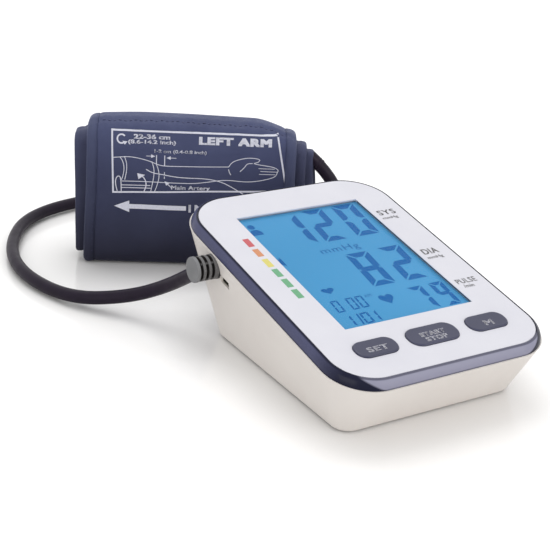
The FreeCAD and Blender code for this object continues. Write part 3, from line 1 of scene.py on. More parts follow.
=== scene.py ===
"""Upper-arm blood pressure monitor: finishes, soft goods, prints and a plain studio round the CAD frame.

Sizes are in millimetres in the classes and in metres in the meshes. The frame has +Z up and the
unit's front towards -Y.
"""

import logging
import math
from dataclasses import dataclass, field
from enum import Enum
from functools import cached_property
from typing import Callable, Iterable, NamedTuple, Sequence

import bmesh
import bpy
from mathutils import Matrix, Vector, noise
from mathutils.bvhtree import BVHTree


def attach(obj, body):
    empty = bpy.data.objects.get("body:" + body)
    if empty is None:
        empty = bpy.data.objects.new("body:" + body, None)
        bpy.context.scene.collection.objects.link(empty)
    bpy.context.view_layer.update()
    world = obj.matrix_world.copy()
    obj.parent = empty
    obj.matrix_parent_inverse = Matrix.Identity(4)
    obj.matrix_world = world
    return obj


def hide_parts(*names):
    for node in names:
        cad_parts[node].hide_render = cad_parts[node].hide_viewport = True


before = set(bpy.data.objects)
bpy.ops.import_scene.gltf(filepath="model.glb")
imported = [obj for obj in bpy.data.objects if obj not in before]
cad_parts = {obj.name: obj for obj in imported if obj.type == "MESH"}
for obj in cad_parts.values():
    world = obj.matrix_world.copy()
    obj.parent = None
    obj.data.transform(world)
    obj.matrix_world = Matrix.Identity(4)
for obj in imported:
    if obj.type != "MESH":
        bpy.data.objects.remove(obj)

MM = 0.001
UP = Vector((0.0, 0.0, 1.0))
NOISE_LOW, NOISE_HIGH = 0.3, 0.7
MIX_SHARE, MIX_FIRST, MIX_SECOND, MIX_RESULT = 0, 6, 7, 2
log = logging.getLogger("monitor")

Socket = bpy.types.NodeSocket
Tone = tuple[float, float, float]
Pair = tuple[float, float]
Face = tuple[int, ...]
Plane = Callable[[float, float], Vector]


# ------------------------------------------------------------------ places


@dataclass(frozen=True)
class SlopedFace:
    """Frame of the sloping front face: u across, v up the slope and w out of it, in millimetres."""

    x: float = 8.33
    y: float = -136.13
    z: float = 36.6
    tilt: float = 10.0

    def point(self, u: float, v: float, w: float = 0.0) -> Vector:
        """Place of a spot of the face.

        Args:
            u: distance to the right of the centre line.
            v: distance up the slope from the plate's front edge.
            w: height above the plate.

        Returns:
            The spot in the row frame, in metres.
        """
        tilt = math.radians(self.tilt)
        return MM * Vector(
            (
                self.x + u,
                self.y + v * math.cos(tilt) - w * math.sin(tilt),
                self.z + v * math.sin(tilt) + w * math.cos(tilt),
            )
        )


@dataclass(frozen=True)
class CuffStand:
    """Frame of the rolled cuff: x along its long edge, y into its depth and z up, in millimetres."""

    x: float = -65.67
    y: float = 114.87
    turn: float = -28.5

    def point(self, x: float, y: float, z: float) -> Vector:
        """Place of a spot of the cuff.

        Args:
            x: distance along the long edge from the front left foot.
            y: distance behind the front.
            z: height above the floor.

        Returns:
            The spot in the row frame, in metres.
        """
        turn = math.radians(self.turn)
        return MM * Vector(
            (
                self.x + x * math.cos(turn) - y * math.sin(turn),
                self.y + x * math.sin(turn) + y * math.cos(turn),
                z,
            )
        )

    def across(self) -> Vector:
        """Direction straight into the cuff's depth."""
        turn = math.radians(self.turn)
        return Vector((-math.sin(turn), math.cos(turn), 0.0))


FACE = SlopedFace()
CUFF = CuffStand()


def smooth_step(low: float, high: float, at: float) -> float:
    """Soft ramp from 0 at low to 1 at high."""
    t = min(1.0, max(0.0, (at - low) / (high - low)))
    return t * t * (3.0 - 2.0 * t)


def bell(offset: float, reach: float) -> float:
    """Bell curve that is 1 at no offset and dies away beyond its reach."""
    return math.exp(-((offset / reach) ** 2))


# ------------------------------------------------------------------ finishes


def linear(tone: Tone) -> tuple[float, float, float, float]:
    """A screen colour, each channel from 0 to 255, as a shader takes it."""
    shares = (channel / 255.0 for channel in tone)
    return (*(s / 12.92 if s <= 0.04045 else ((s + 0.055) / 1.055) ** 2.4 for s in shares), 1.0)


class NodeBench:
    """Node tree of a material or a world, with short calls that add and join its nodes."""

    def __init__(self, tree: bpy.types.NodeTree) -> None:
        """Takes over a tree.

        Args:
            tree: node tree that the calls work on.
        """
        self.tree = tree
        self.shader = tree.nodes.get("Principled BSDF")

    @cached_property
    def place(self) -> Socket:
        """Object coordinates."""
        return self.add("TexCoord").outputs["Object"]

    def feed(self, slot: Socket, source: object) -> None:
        """Joins a socket to a slot, or sets the slot to a constant."""
        if isinstance(source, Socket):
            self.tree.links.new(source, slot)
        else:
            slot.default_value = source

    def add(self, kind: str, inputs: dict | None = None, **settings: object) -> bpy.types.Node:
        """Adds a node.

        Args:
            kind: Blender's type name of the node, without its prefix.
            inputs: sockets or constants for its inputs, by name or number.
            **settings: properties of the node.

        Returns:
            The new node.
        """
        node = self.tree.nodes.new("ShaderNode" + kind)
        for name, setting in settings.items():
            setattr(node, name, setting)
        for slot, source in (inputs or {}).items():
            self.feed(node.inputs[slot], source)
        return node

    def fix(self, **sources: object) -> None:
        """Feeds the shader's own inputs, named with underscores."""
        for name, source in sources.items():
            self.feed(self.shader.inputs[name.replace("_", " ")], source)

    def surface(self, shader: Socket) -> None:
        """Makes a shader the surface of the material."""
        self.feed(self.tree.nodes["Material Output"].inputs["Surface"], shader)

    def axes(self, place: Socket) -> tuple[Socket, Socket, Socket]:
        """The three coordinates of a place."""
        return tuple(self.add("SeparateXYZ", {"Vector": place}).outputs)

    def turned(self, degrees: float) -> Socket:
        """Object coordinates turned about Z, so that a pattern follows a piece that stands askew."""
        turn = (0.0, 0.0, math.radians(degrees))
        return self.add("Mapping", {"Vector": self.place, "Rotation": turn}).outputs["Vector"]

    def clouds(self, scale: float, detail: float = 3.0, rough: float = 0.55) -> Socket:
        """Noise over the piece.

        Args:
            scale: noise cells in a metre.
            detail: octaves of finer noise.
            rough: strength of the finer octaves.

        Returns:
            The noise's value socket.
        """
        inputs = {"Vector": self.place, "Scale": scale, "Detail": detail, "Roughness": rough}
        return self.add("TexNoise", inputs).outputs["Fac"]

    def count(self, operation: str, *terms: object) -> Socket:
        """Result of the Math operation of that name on sockets or numbers."""
        return self.add("Math", dict(enumerate(terms)), operation=operation).outputs[0]

    def times(self, product: object, *factors: object) -> Socket:
        """Product of sockets or numbers."""
        for factor in factors:
            product = self.count("MULTIPLY", product, factor)
        return product

    def reach(self, *legs: Socket) -> Socket:
        """Length of the line that two lengths at right angles span."""
        return self.count("SQRT", self.count("ADD", *(self.count("POWER", leg, 2.0) for leg in legs)))

    def ramp(self, source: Socket, low: float, high: float, start: float = 0.0, end: float = 1.0) -> Socket:
        """Maps a value from one range into another.

        Args:
            source: value that drives it.
            low: source value that gives start.
            high: source value that gives end.
            start: result at low.
            end: result at high.

        Returns:
            The mapped value's socket.
        """
        inputs = {"Value": source, "From Min": low, "From Max": high, "To Min": start, "To Max": end}
        return self.add("MapRange", inputs).outputs["Result"]

    def fade(self, length: Socket, low: float, high: float, start: float = 0.0, end: float = 1.0) -> Socket:
        """The same as ramp over a length, with low and high in millimetres."""
        return self.ramp(length, low * MM, high * MM, start, end)

    def blend(self, share: Socket, first: Socket | Tone, second: Socket | Tone) -> Socket:
        """Blends two colours.

        Args:
            share: 0 for the first colour and 1 for the second.
            first: first colour, or its socket.
            second: second colour, or its socket.

        Returns:
            The blend's socket.
        """
        first, second = (linear(end) if isinstance(end, tuple) else end for end in (first, second))
        inputs = {MIX_SHARE: share, MIX_FIRST: first, MIX_SECOND: second}
        return self.add("Mix", inputs, data_type="RGBA").outputs[MIX_RESULT]

    def on_face(self) -> tuple[Socket, Socket, Socket]:
        """Where a spot is on the sloping face.

        Returns:
            Distance from the face's middle line, distance behind its front edge, and depth below it, in metres.
        """
        tilt = math.radians(FACE.tilt)
        across, back, rise = (
            self.count("SUBTRACT", axis, start * MM)
            for axis, start in zip(self.axes(self.place), (FACE.x, FACE.y, FACE.z))
        )
        depth = self.count("SUBTRACT", self.times(back, math.sin(tilt)), self.times(rise, math.cos(tilt)))
        return self.count("ABSOLUTE", across), back, depth

    def relief(self, height: Socket, depth: float, strength: float = 1.0) -> None:
        """Adds fine relief to the shader.

        Args:
            height: value between 0 and 1 that stands for the height.
            depth: height of the relief in millimetres.
            strength: share of the relief that shows.
        """
        bump = self.add("Bump", {"Strength": strength, "Distance": depth * MM, "Height": height})
        below = self.shader.inputs["Normal"]
        if below.is_linked:
            self.feed(bump.inputs["Normal"], below.links[0].from_socket)
        self.feed(below, bump.outputs["Normal"])


@dataclass(frozen=True)
class Finish:
    """A surface's make-up. Every kind of finish builds its own nodes in dress()."""

    name: str
    colour: Tone
    shade: Tone
    roughness: float = 0.4

    def dress(self, bench: NodeBench) -> None:
        """Builds the nodes of this finish on a bench."""
        raise NotImplementedError

    def mottled(self, bench: NodeBench, source: Socket, low: float = NOISE_LOW, high: float = NOISE_HIGH) -> Socket:
        """Blend of the colour and its shade by a value that goes from low to high."""
        return bench.blend(bench.ramp(source, low, high), self.colour, self.shade)

    def polish(self, bench: NodeBench, source: Socket, least: float, most: float) -> None:
        """Lets the roughness vary with a value, between two shares of its own size."""
        least, most = self.roughness * least, self.roughness * most
        bench.fix(Roughness=bench.ramp(source, NOISE_LOW, NOISE_HIGH, least, most))

    def material(self) -> bpy.types.Material:
        """The finish's material, built the first time that a piece asks for it."""
        name = "look_" + self.name
        material = bpy.data.materials.get(name)
        if material is None:
            material = bpy.data.materials.new(name)
            material.use_nodes = True
            self.dress(NodeBench(material.node_tree))
            material.diffuse_color = linear(self.colour)
        return material


@dataclass(frozen=True)
class MouldedPlastic(Finish):
    """Injection-moulded plastic with a fine eroded grain and slight mottling."""

    grain: float = 0.012
    grain_size: float = 0.35
    gloss: float = 0.0
    specular: float = 0.5

    def dress(self, bench: NodeBench) -> None:
        """Mottled colour, uneven roughness and a fine grain."""
        bench.fix(Coat_Weight=self.gloss, Coat_Roughness=0.08, Specular_IOR_Level=self.specular)
        bench.fix(Base_Color=self.mottled(bench, bench.clouds(scale=35.0)))
        self.polish(bench, bench.clouds(scale=120.0, detail=4.0), least=0.88, most=1.12)
        bench.relief(bench.clouds(scale=1.0 / (self.grain_size * MM), detail=2.0), self.grain)
        bench.relief(bench.clouds(scale=60.0, detail=1.0), depth=0.02, strength=0.5)


@dataclass(frozen=True)
class WindowPlate(MouldedPlastic):
    """Moulded plate whose window opening has walls darkened with painted shade."""

    wall_shade: Tone = (44, 56, 78)
    wall_start: float = 0.35
    reach: float = 38.6
    rear: float = 139.6

    def dress(self, bench: NodeBench) -> None:
        """The plain moulded finish, darkened with painted shade below the plate's face inside the window."""
        super().dress(bench)
        plain = bench.shader.inputs["Base Color"].links[0].from_socket
        across, back, depth = bench.on_face()
        # Painted shade on the inner walls of the window opening.
        below = bench.fade(depth, self.wall_start, self.wall_start + 0.1)
        inside = bench.fade(across, self.reach, self.reach + 0.2, 1.0, 0.0)
        ahead = bench.fade(back, self.rear, self.rear + 0.8, 1.0, 0.2)
        bench.fix(Base_Color=bench.blend(bench.times(below, inside, ahead), plain, self.wall_shade))


@dataclass(frozen=True)
class SoftRubber(Finish):
    """Matt rubber or silicone with a fine skin and a little bloom."""

    bloom: float = 0.15
    skin: float = 0.02
    specular: float = 0.5

    def dress(self, bench: NodeBench) -> None:
        """Colour that dusts lighter in patches over a fine skin."""
        dust = bench.clouds(scale=180.0, detail=5.0, rough=0.65)
        bench.fix(Sheen_Weight=self.bloom, Sheen_Roughness=0.4, Specular_IOR_Level=self.specular)
        bench.fix(Base_Color=self.mottled(bench, dust))
        self.polish(bench, dust, least=0.9, most=1.15)
        bench.relief(bench.clouds(scale=2200.0, detail=2.0), self.skin)


@dataclass(frozen=True)
class WovenNylon(Finish):
    """Plain-weave nylon: warp and weft threads, a satin sheen, soft unevenness in the dye and, where set, painted
    shade that darkens it towards the floor.
    """

    pitch: float = 0.55
    turn: float = 28.5
    thread: float = 0.05
    sheen: float = 0.35
    sheen_tone: Tone = (170, 180, 215)
    low_shade_tone: Tone = (24, 22, 38)
    low_shade_share: float = 0.0
    low_shade_from: float = 12.0
    low_shade_to: float = 78.0

    def dress(self, bench: NodeBench) -> None:
        """Crossing threads as relief and as light and dark in the dye, with painted shade that deepens towards the
        foot where the roll stands.
        """
        bench.fix(Sheen_Weight=self.sheen, Sheen_Roughness=0.35, Sheen_Tint=linear(self.sheen_tone))
        across, back, height = bench.axes(bench.turned(self.turn))
        pace = 2.0 * math.pi / (self.pitch * MM)
        warp = bench.count("SINE", bench.times(across, pace))
        weft = bench.count("SINE", bench.times(bench.count("ADD", back, height), pace))
        weave = bench.ramp(bench.times(warp, weft), -1.0, 1.0)
        dye = bench.count("ADD", bench.clouds(scale=28.0, detail=4.0), bench.times(weave, 0.12))
        dye_and_shade = self.mottled(bench, dye, low=0.35, high=0.85)
        # Painted shade: the colour darkens towards the bottom of the roll, standing for the shade near the floor.
        if self.low_shade_share > 0.0:
            patches = bench.times(bench.clouds(scale=22.0, detail=2.0), 12.0 * MM)
            foot = bench.fade(bench.count("ADD", height, patches), self.low_shade_from, self.low_shade_to, self.low_shade_share, 0.0)
            dye_and_shade = bench.blend(foot, dye_and_shade, self.low_shade_tone)
        bench.fix(Base_Color=dye_and_shade, Specular_IOR_Level=0.25)
        self.polish(bench, bench.clouds(scale=90.0), least=0.9, most=1.1)
        bench.relief(weave, self.thread)
        bench.relief(bench.clouds(scale=240.0), depth=0.25, strength=0.6)


@dataclass(frozen=True)
class HookPile(Finish):
    """Hook tape: a stiff ground with rows of tiny hooks."""

    pitch: float = 1.1
    turn: float = 28.5

    def dress(self, bench: NodeBench) -> None:
        """Rows of hooks as relief and as a light fleck."""
        inputs = {"Vector": bench.turned(self.turn), "Scale": 1.0 / (self.pitch * MM), "Randomness": 0.35}
        hooks = bench.ramp(bench.add("TexVoronoi", inputs).outputs["Distance"], 0.1, 0.55, 1.0, 0.0)
        bench.fix(Sheen_Weight=0.3, Specular_IOR_Level=0.4, Roughness=self.roughness)
        bench.fix(Base_Color=self.mottled(bench, hooks, low=0.2, high=0.9))
        bench.relief(hooks, depth=0.6)


@dataclass(frozen=True)
class PrintedInk(Finish):
    """Screen-printed ink with slightly uneven cover."""

    def dress(self, bench: NodeBench) -> None:
        """Ink that thins a little in patches."""
        cover = bench.clouds(scale=900.0)
        bench.fix(Specular_IOR_Level=0.4, Base_Color=self.mottled(bench, cover))
        self.polish(bench, cover, least=1.0, most=1.2)
        bench.relief(bench.clouds(scale=1500.0, detail=2.0), depth=0.01)


@dataclass(frozen=True)
class RibbedGrey(Finish):
    """Grey plastic of the air plug, with painted shade deep between its ribs."""

    axis_y: float = -13.33
    axis_z: float = 45.7
    root: float = 5.9
    rim: float = 6.5
    gap: Tone = (44, 41, 41)

    def dress(self, bench: NodeBench) -> None:
        """Grainy grey on the ribs and the disc, with painted shade near black towards the plug's axis."""
        _, y, z = bench.axes(bench.place)
        across = bench.count("SUBTRACT", y, self.axis_y * MM)
        up = bench.count("SUBTRACT", z, self.axis_z * MM)
        # Painted shade: near black inside the ribs' roots, in the hollows between the ribs.
        ribs = bench.fade(bench.reach(across, up), self.root, self.rim)
        grain = bench.clouds(scale=1500.0, detail=4.0, rough=0.7)
        bench.fix(Specular_IOR_Level=0.4, Base_Color=bench.blend(ribs, self.gap, self.mottled(bench, grain)))
        self.polish(bench, grain, least=0.9, most=1.15)
        bench.relief(grain, depth=0.05)


@dataclass(frozen=True)
class PearlTrim(Finish):
    """Polished navy trim with painted light: a pale painted reflection in front, its own slate along the sides, and
    deep navy painted as dark reflection at the front corners and as shade along both rims.
    """

    front: Tone = (150, 150, 171)
    deep: Tone = (15, 18, 45)
    lip_end: float = 0.25
    soft_rim: float = 0.4
    band_start: float = 0.7
    band_end: float = 4.2
    side_start: float = 9.0
    side_end: float = 30.0
    corner: float = 46.0
    corner_lean: float = 2.2
    middle: float = 2.5
    front_end: float = 14.0

    def dress(self, bench: NodeBench) -> None:
        """Painted light on the lacquer, by the place on the sloping face: a pale painted reflection in front, a dark
        painted reflection at the front corners and painted shade that darkens both rims.
        """
        across, back, depth = bench.on_face()
        upper = bench.fade(depth, self.lip_end, self.band_start)
        lower = bench.fade(depth, self.band_end, self.band_end + 0.7, 1.0, 0.15)
        side = bench.fade(back, self.side_start, self.side_end)
        off_middle = bench.count("SUBTRACT", depth, self.middle * MM)
        edge = bench.count("ADD", across, bench.times(off_middle, self.corner_lean))
        # Painted reflection: a pale band across the front of the ring, between its corners.
        ahead = bench.times(
            bench.fade(edge, self.corner, self.corner + 2.0, 1.0, 0.0),
            bench.fade(back, self.front_end, self.front_end + 2.0, 1.0, 0.0),
        )
        # Painted shade: deep navy along both rims, softer in front.
        rims = bench.count("MAXIMUM", bench.times(upper, lower), bench.times(ahead, self.soft_rim))
        band = self.mottled(bench, bench.clouds(scale=1400.0, rough=0.6))
        # Painted dark reflection at the front corners, the trim's own colour further back.
        band = bench.blend(side, self.deep, band)
        band = bench.blend(ahead, band, self.front)
        band = bench.blend(rims, self.deep, band)
        bench.fix(Coat_Weight=0.12, Coat_Roughness=0.06, Specular_IOR_Level=0.15, Base_Color=band)
        self.polish(bench, bench.clouds(scale=90.0, detail=4.0), least=0.85, most=1.2)
        bench.relief(bench.clouds(scale=70.0, detail=1.0), depth=0.012, strength=0.5)


@dataclass(frozen=True)
class BacklitGlass(Finish):
    """Display glass or a printed segment in front of an even light panel."""

    glow: float = 0.5

    def dress(self, bench: NodeBench) -> None:
        """A glow that falls off softly over the panel."""
        even = self.mottled(bench, bench.clouds(scale=9.0, detail=1.0), low=0.35, high=0.65)
        bench.fix(Specular_IOR_Level=0.0, Roughness=self.roughness, Emission_Strength=self.glow)
        bench.fix(Base_Color=even, Emission_Color=even)
        bench.relief(bench.clouds(scale=3000.0, detail=1.0), depth=0.003)


@dataclass(frozen=True)
class ClearCover(Finish):
    """Clear window that shows what lies behind it and carries a weak reflection."""

    ahead_share: float = 0.008
    grazing_share: float = 0.6

    def dress(self, bench: NodeBench) -> None:
        """A clear pass-through and a sharp reflection that grows towards a grazing angle."""
        facing = bench.count("POWER", bench.add("LayerWeight").outputs["Facing"], 5.0)
        share = bench.count("ADD", bench.times(facing, self.grazing_share), self.ahead_share)
        clear = bench.add("BsdfTransparent", {"Color": linear(self.colour)})
        gloss = bench.add("BsdfGlossy", {"Color": linear(self.shade), "Roughness": self.roughness})
        bench.surface(bench.add("MixShader", {0: share, 1: clear.outputs[0], 2: gloss.outputs[0]}).outputs[0])
        bench.tree.nodes.remove(bench.shader)


@dataclass(frozen=True)
class BrushedMetal(Finish):
    """Plated or drawn metal with fine scratches."""

    def dress(self, bench: NodeBench) -> None:
        """Metal with uneven roughness and hairline scratches."""
        worn = bench.clouds(scale=400.0, detail=5.0, rough=0.7)
        bench.fix(Metallic=1.0, Base_Color=self.mottled(bench, worn))
        self.polish(bench, worn, least=0.8, most=1.3)
        bench.relief(bench.clouds(scale=2500.0), depth=0.004)


@dataclass(frozen=True)
class StudioFloor(Finish):
    """Pale seamless surface that keeps soft shadows and a weak reflection, with painted shadow near the roll's front
    foot and in nooks.
    """

    lift: float = 0.2
    shine: float = 0.6
    fade: float = 60.0
    nook: float = 42.0
    roll_middle: float = 60.0
    roll_half: float = 52.0

    def near_roll(self, bench: NodeBench) -> Socket:
        """Distance of a spot of the floor from the front foot of the rolled cuff, in metres."""
        inputs = {
            "Vector": bench.place,
            "Location": CUFF.point(0.0, 0.0, 0.0),
            "Rotation": (0.0, 0.0, math.radians(CUFF.turn)),
        }
        x, y, _ = bench.axes(bench.add("Mapping", inputs, vector_type="TEXTURE").outputs["Vector"])
        off_middle = bench.count("ABSOLUTE", bench.count("SUBTRACT", x, self.roll_middle * MM))
        beyond = bench.count("MAXIMUM", bench.count("SUBTRACT", off_middle, self.roll_half * MM), 0.0)
        return bench.reach(beyond, y)

    def dress(self, bench: NodeBench) -> None:
        """Pale satin surface, lifted to white only where the camera looks at it, and less so under the roll and in
        nooks, which paints shadow there.
        """
        bench.fix(Roughness=self.roughness, Specular_IOR_Level=self.shine)
        bench.fix(Base_Color=self.mottled(bench, bench.clouds(scale=3.0, detail=1.0)))
        # Painted shadow: the lift to white is held back in nooks by ambient occlusion and near the roll's front foot.
        open_air = bench.add("AmbientOcclusion", {"Distance": self.nook * MM}).outputs["AO"]
        away = bench.fade(self.near_roll(bench), 0.0, self.fade, 0.0, self.lift)
        seen = bench.add("LightPath").outputs["Is Camera Ray"]
        light = bench.add("Emission", {"Strength": bench.times(away, bench.count("POWER", open_air, 2.0), seen)})
        both = bench.add("AddShader", {0: bench.shader.outputs[0], 1: light.outputs[0]})
        bench.surface(both.outputs[0])


class Look(Enum):
    """Every finish on the object. A finish that a CAD slot wears is named after the slot."""

    WARM_WHITE_ABS = MouldedPlastic("warm_case", (239, 234, 229), (235, 229, 224), 0.42, grain=0.015)
    COOL_WHITE_ABS = WindowPlate("cool_plate", (227, 227, 235), (222, 222, 231), 0.36, grain=0.006)
    NAVY_GLOSS = PearlTrim("navy_trim", (84, 87, 118), (76, 78, 108), 0.24)
    SLATE_KEY = MouldedPlastic(
        "slate_key", (66, 68, 92), (59, 61, 84), 0.34, grain=0.004, gloss=0.1, specular=0.35
    )
    PLUG_GREY = RibbedGrey("plug_grey", (120, 119, 120), (96, 95, 96), 0.5)
    PLUG_DISC = MouldedPlastic("plug_disc", (140, 141, 143), (116, 117, 120), 0.55, grain=0.05, grain_size=0.5)
    BLACK_PLASTIC = MouldedPlastic("black_plastic", (34, 34, 38), (28, 28, 32), 0.42)
    PUMP_GREY = MouldedPlastic("pump_grey", (150, 152, 154), (140, 142, 144), 0.5)
    FRAME_WHITE = MouldedPlastic("frame_white", (222, 222, 220), (214, 214, 212), 0.5)
    LIGHT_GUIDE = MouldedPlastic("light_guide", (205, 224, 240), (196, 216, 234), 0.2)
    BOARD_GREEN = MouldedPlastic("board_green", (24, 88, 54), (18, 74, 44), 0.35, gloss=0.3)
    CELL_JACKET = MouldedPlastic("cell_jacket", (46, 62, 92), (38, 52, 80), 0.28, grain=0.002, gloss=0.4)
    GREY_RUBBER = SoftRubber("grey_rubber", (112, 112, 116), (100, 100, 104), 0.75)
    DARK_RUBBER = SoftRubber("dark_rubber", (36, 36, 40), (30, 30, 34), 0.7)
    HOSE_RUBBER = SoftRubber(
        "hose_rubber", (32, 22, 40), (26, 18, 33), 0.38, bloom=0.0, skin=0.01, specular=0.18
    )
    SILICONE = SoftRubber("silicone", (206, 208, 206), (194, 198, 196), 0.45)
    BLADDER_RUBBER = SoftRubber("bladder_rubber", (60, 60, 66), (50, 50, 56), 0.6)
    # The three fabrics below carry painted shade that darkens them towards the roll's foot.
    NAVY_FABRIC = WovenNylon("navy_fabric", (62, 68, 101), (78, 85, 120), 0.55, sheen=0.28, low_shade_share=0.9)
    INNER_FABRIC = WovenNylon("inner_fabric", (62, 66, 94), (78, 83, 112), 0.6, sheen=0.3, low_shade_share=0.85)
    NAVY_TAPE = WovenNylon(
        "navy_tape", (66, 72, 102), (80, 87, 119), 0.55, pitch=0.8, thread=0.09, sheen=0.35, low_shade_share=0.85
    )
    THREAD = WovenNylon("sewing_thread", (70, 74, 104), (84, 88, 120), 0.5, pitch=0.2, thread=0.02)
    HOOK_TAPE = HookPile("hook_tape", (30, 32, 46), (76, 80, 108), 0.6)
    CUFF_INK = PrintedInk("cuff_ink", (226, 228, 240), (212, 214, 230), 0.55)
    KEY_INK = PrintedInk("key_ink", (232, 232, 240), (222, 222, 232), 0.45)
    FACE_INK = PrintedInk("face_ink", (166, 165, 167), (159, 158, 160), 0.5)
    BAR_RED = PrintedInk("bar_red", (206, 100, 106), (200, 94, 100), 0.45)
    BAR_ORANGE = PrintedInk("bar_orange", (218, 150, 108), (212, 143, 102), 0.45)
    BAR_YELLOW = PrintedInk("bar_yellow", (226, 216, 122), (221, 210, 116), 0.45)
    BAR_GREEN = PrintedInk("bar_green", (112, 177, 134), (106, 170, 128), 0.45)
    DISPLAY_GLASS = BacklitGlass("display_blue", (62, 136, 176), (70, 142, 182), 0.35, glow=0.42)
    DISPLAY_MARK = BacklitGlass("display_mark", (2, 89, 148), (6, 94, 154), 0.35, glow=0.32)
    CLEAR_LENS = ClearCover("clear_lens", (250, 252, 255), (235, 238, 245), 0.04)
    STEEL = BrushedMetal("steel", (176, 178, 182), (160, 162, 166), 0.3)
    NICKEL = BrushedMetal("nickel", (206, 204, 198), (190, 188, 182), 0.22)
    FLOOR = StudioFloor("studio_floor", (236, 235, 234), (234, 233, 232), 0.16, lift=0.36)


NODE_LOOKS: dict[str, Look] = {"plug_cap": Look.PLUG_DISC}


# ------------------------------------------------------------------ meshes


def dense(points: Sequence[Pair], step: float, closed: bool = False) -> list[Pair]:
    """Middle line with points at an even step, so that it can follow a curved surface."""
    path = [*points, points[0]] if closed else list(points)
    result = []
    for (x0, y0), (x1, y1) in zip(path, path[1:]):
        parts = max(1, int(math.hypot(x1 - x0, y1 - y0) / step))
        result.extend((x0 + (x1 - x0) * k / parts, y0 + (y1 - y0) * k / parts) for k in range(parts))
    return result if closed else result + [path[-1]]


def eased(points: Sequence[Pair]) -> list[Pair]:
    """Line with its corners cut twice."""
    line = list(points)
    for _ in range(2):
        cut = [line[0]]
        for (x0, y0), (x1, y1) in zip(line, line[1:]):
            cut += [(near * x0 + far * x1, near * y0 + far * y1) for near, far in ((0.75, 0.25), (0.25, 0.75))]
        line = [*cut, line[-1]]
    return line


def ring(middle: Vector, first: Vector, second: Vector, radius: float, sides: int) -> list[Vector]:
    """Closed ring of points round a place, that starts towards first and turns towards second."""
    angles = (2.0 * math.pi * k / sides for k in range(sides + 1))
    return [middle + radius * (math.cos(angle) * first + math.sin(angle) * second) for angle in angles]


@dataclass
class Sketch:
    """Corners and faces of one mesh piece, in metres."""

    name: str
    corners: list[Vector] = field(default_factory=list)
    faces: list[Face] = field(default_factory=list)

    def add(self, corners: Iterable[Vector], faces: Iterable[Sequence[int]]) -> None:
        """Adds a patch whose faces count from its own first corner."""
        base = len(self.corners)
        self.corners.extend(corners)
        self.faces.extend(tuple(base + i for i in face) for face in faces)

    def sheet(self, rows: Sequence[Sequence[Vector]], loop: bool = False) -> None:
        """Adds a grid of quads.

        Args:
            rows: rows of points, all of the same length.
            loop: True where the last row joins the first.
        """
        wide, count = len(rows[0]), len(rows)
        faces = []
        for i in range(count if loop else count - 1):
            here, there = i * wide, (i + 1) % count * wide
            faces += [(here + j, there + j, there + j + 1, here + j + 1) for j in range(wide - 1)]
        self.add([point for row in rows for point in row], faces)

    def to_object(self, look: Look) -> bpy.types.Object:
        """The sketch as an object of the scene.

        Args:
            look: finish of the piece.

        Returns:
            The new object.
        """
        mesh = bpy.data.meshes.new(self.name)
        mesh.from_pydata([tuple(corner) for corner in self.corners], [], self.faces)
        mesh.validate()
        mesh.materials.append(look.value.material())
        thing = bpy.data.objects.new(self.name, mesh)
        bpy.context.scene.collection.objects.link(thing)
        return thing

    def make(self, look: Look, body: str, slot: str, smooth: bool = True) -> bpy.types.Object:
        """Turns the sketch into an object that rides on a body.

        Args:
            look: finish of the piece.
            body: body of the frame that it moves with.
            slot: material slot of the record that it stands for; not used.
            smooth: True for smooth shading.

        Returns:
            The new object.
        """
        thing = self.to_object(look)
        for polygon in thing.data.polygons:
            polygon.use_smooth = smooth
        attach(thing, body)
        log.info("%s: %d corners on %s", self.name, len(self.corners), body)
        return thing


@dataclass
class Print(Sketch):
    """Sketch of flat signs, each point of which is laid on a surface."""

    plane: Plane = FACE.point

    def fill(self, *outline: Pair) -> None:
        """Adds a filled shape of one face."""
        self.add([self.plane(*spot) for spot in outline], [tuple(range(len(outline)))])

    def line(self, points: Sequence[Pair], width: float, step: float = 0.0, closed: bool = False) -> None:
        """Adds a line of even width.

        Args:
            points: middle line.
            width: width of the line.
            step: even step for its points, so that it can follow a curved surface, or 0 to keep them.
            closed: True where the line runs back to its start.
        """
        path = dense(points, step, closed) if step else list(points)
        count = len(path)
        left, right = [], []
        for i, here in enumerate(path):
            before = path[(i - 1) % count] if closed or i > 0 else here
            after = path[(i + 1) % count] if closed or i < count - 1 else here
            a = Vector((here[0] - before[0], here[1] - before[1]))
            b = Vector((after[0] - here[0], after[1] - here[1]))
            a = a.normalized() if a.length > 1e-9 else b.normalized()
            b = b.normalized() if b.length > 1e-9 else a
            along = (a + b).normalized() if (a + b).length > 1e-6 else a
            side = Vector((-along.y, along.x)) * (width / 2.0 / max(0.5, along.dot(a)))
            left.append(self.plane(here[0] + side.x, here[1] + side.y))
            right.append(self.plane(here[0] - side.x, here[1] - side.y))
        pairs = [(i, (i + 1) % count) for i in range(count if closed else count - 1)]
        self.add(left + right, [(i, k, count + k, count + i) for i, k in pairs])


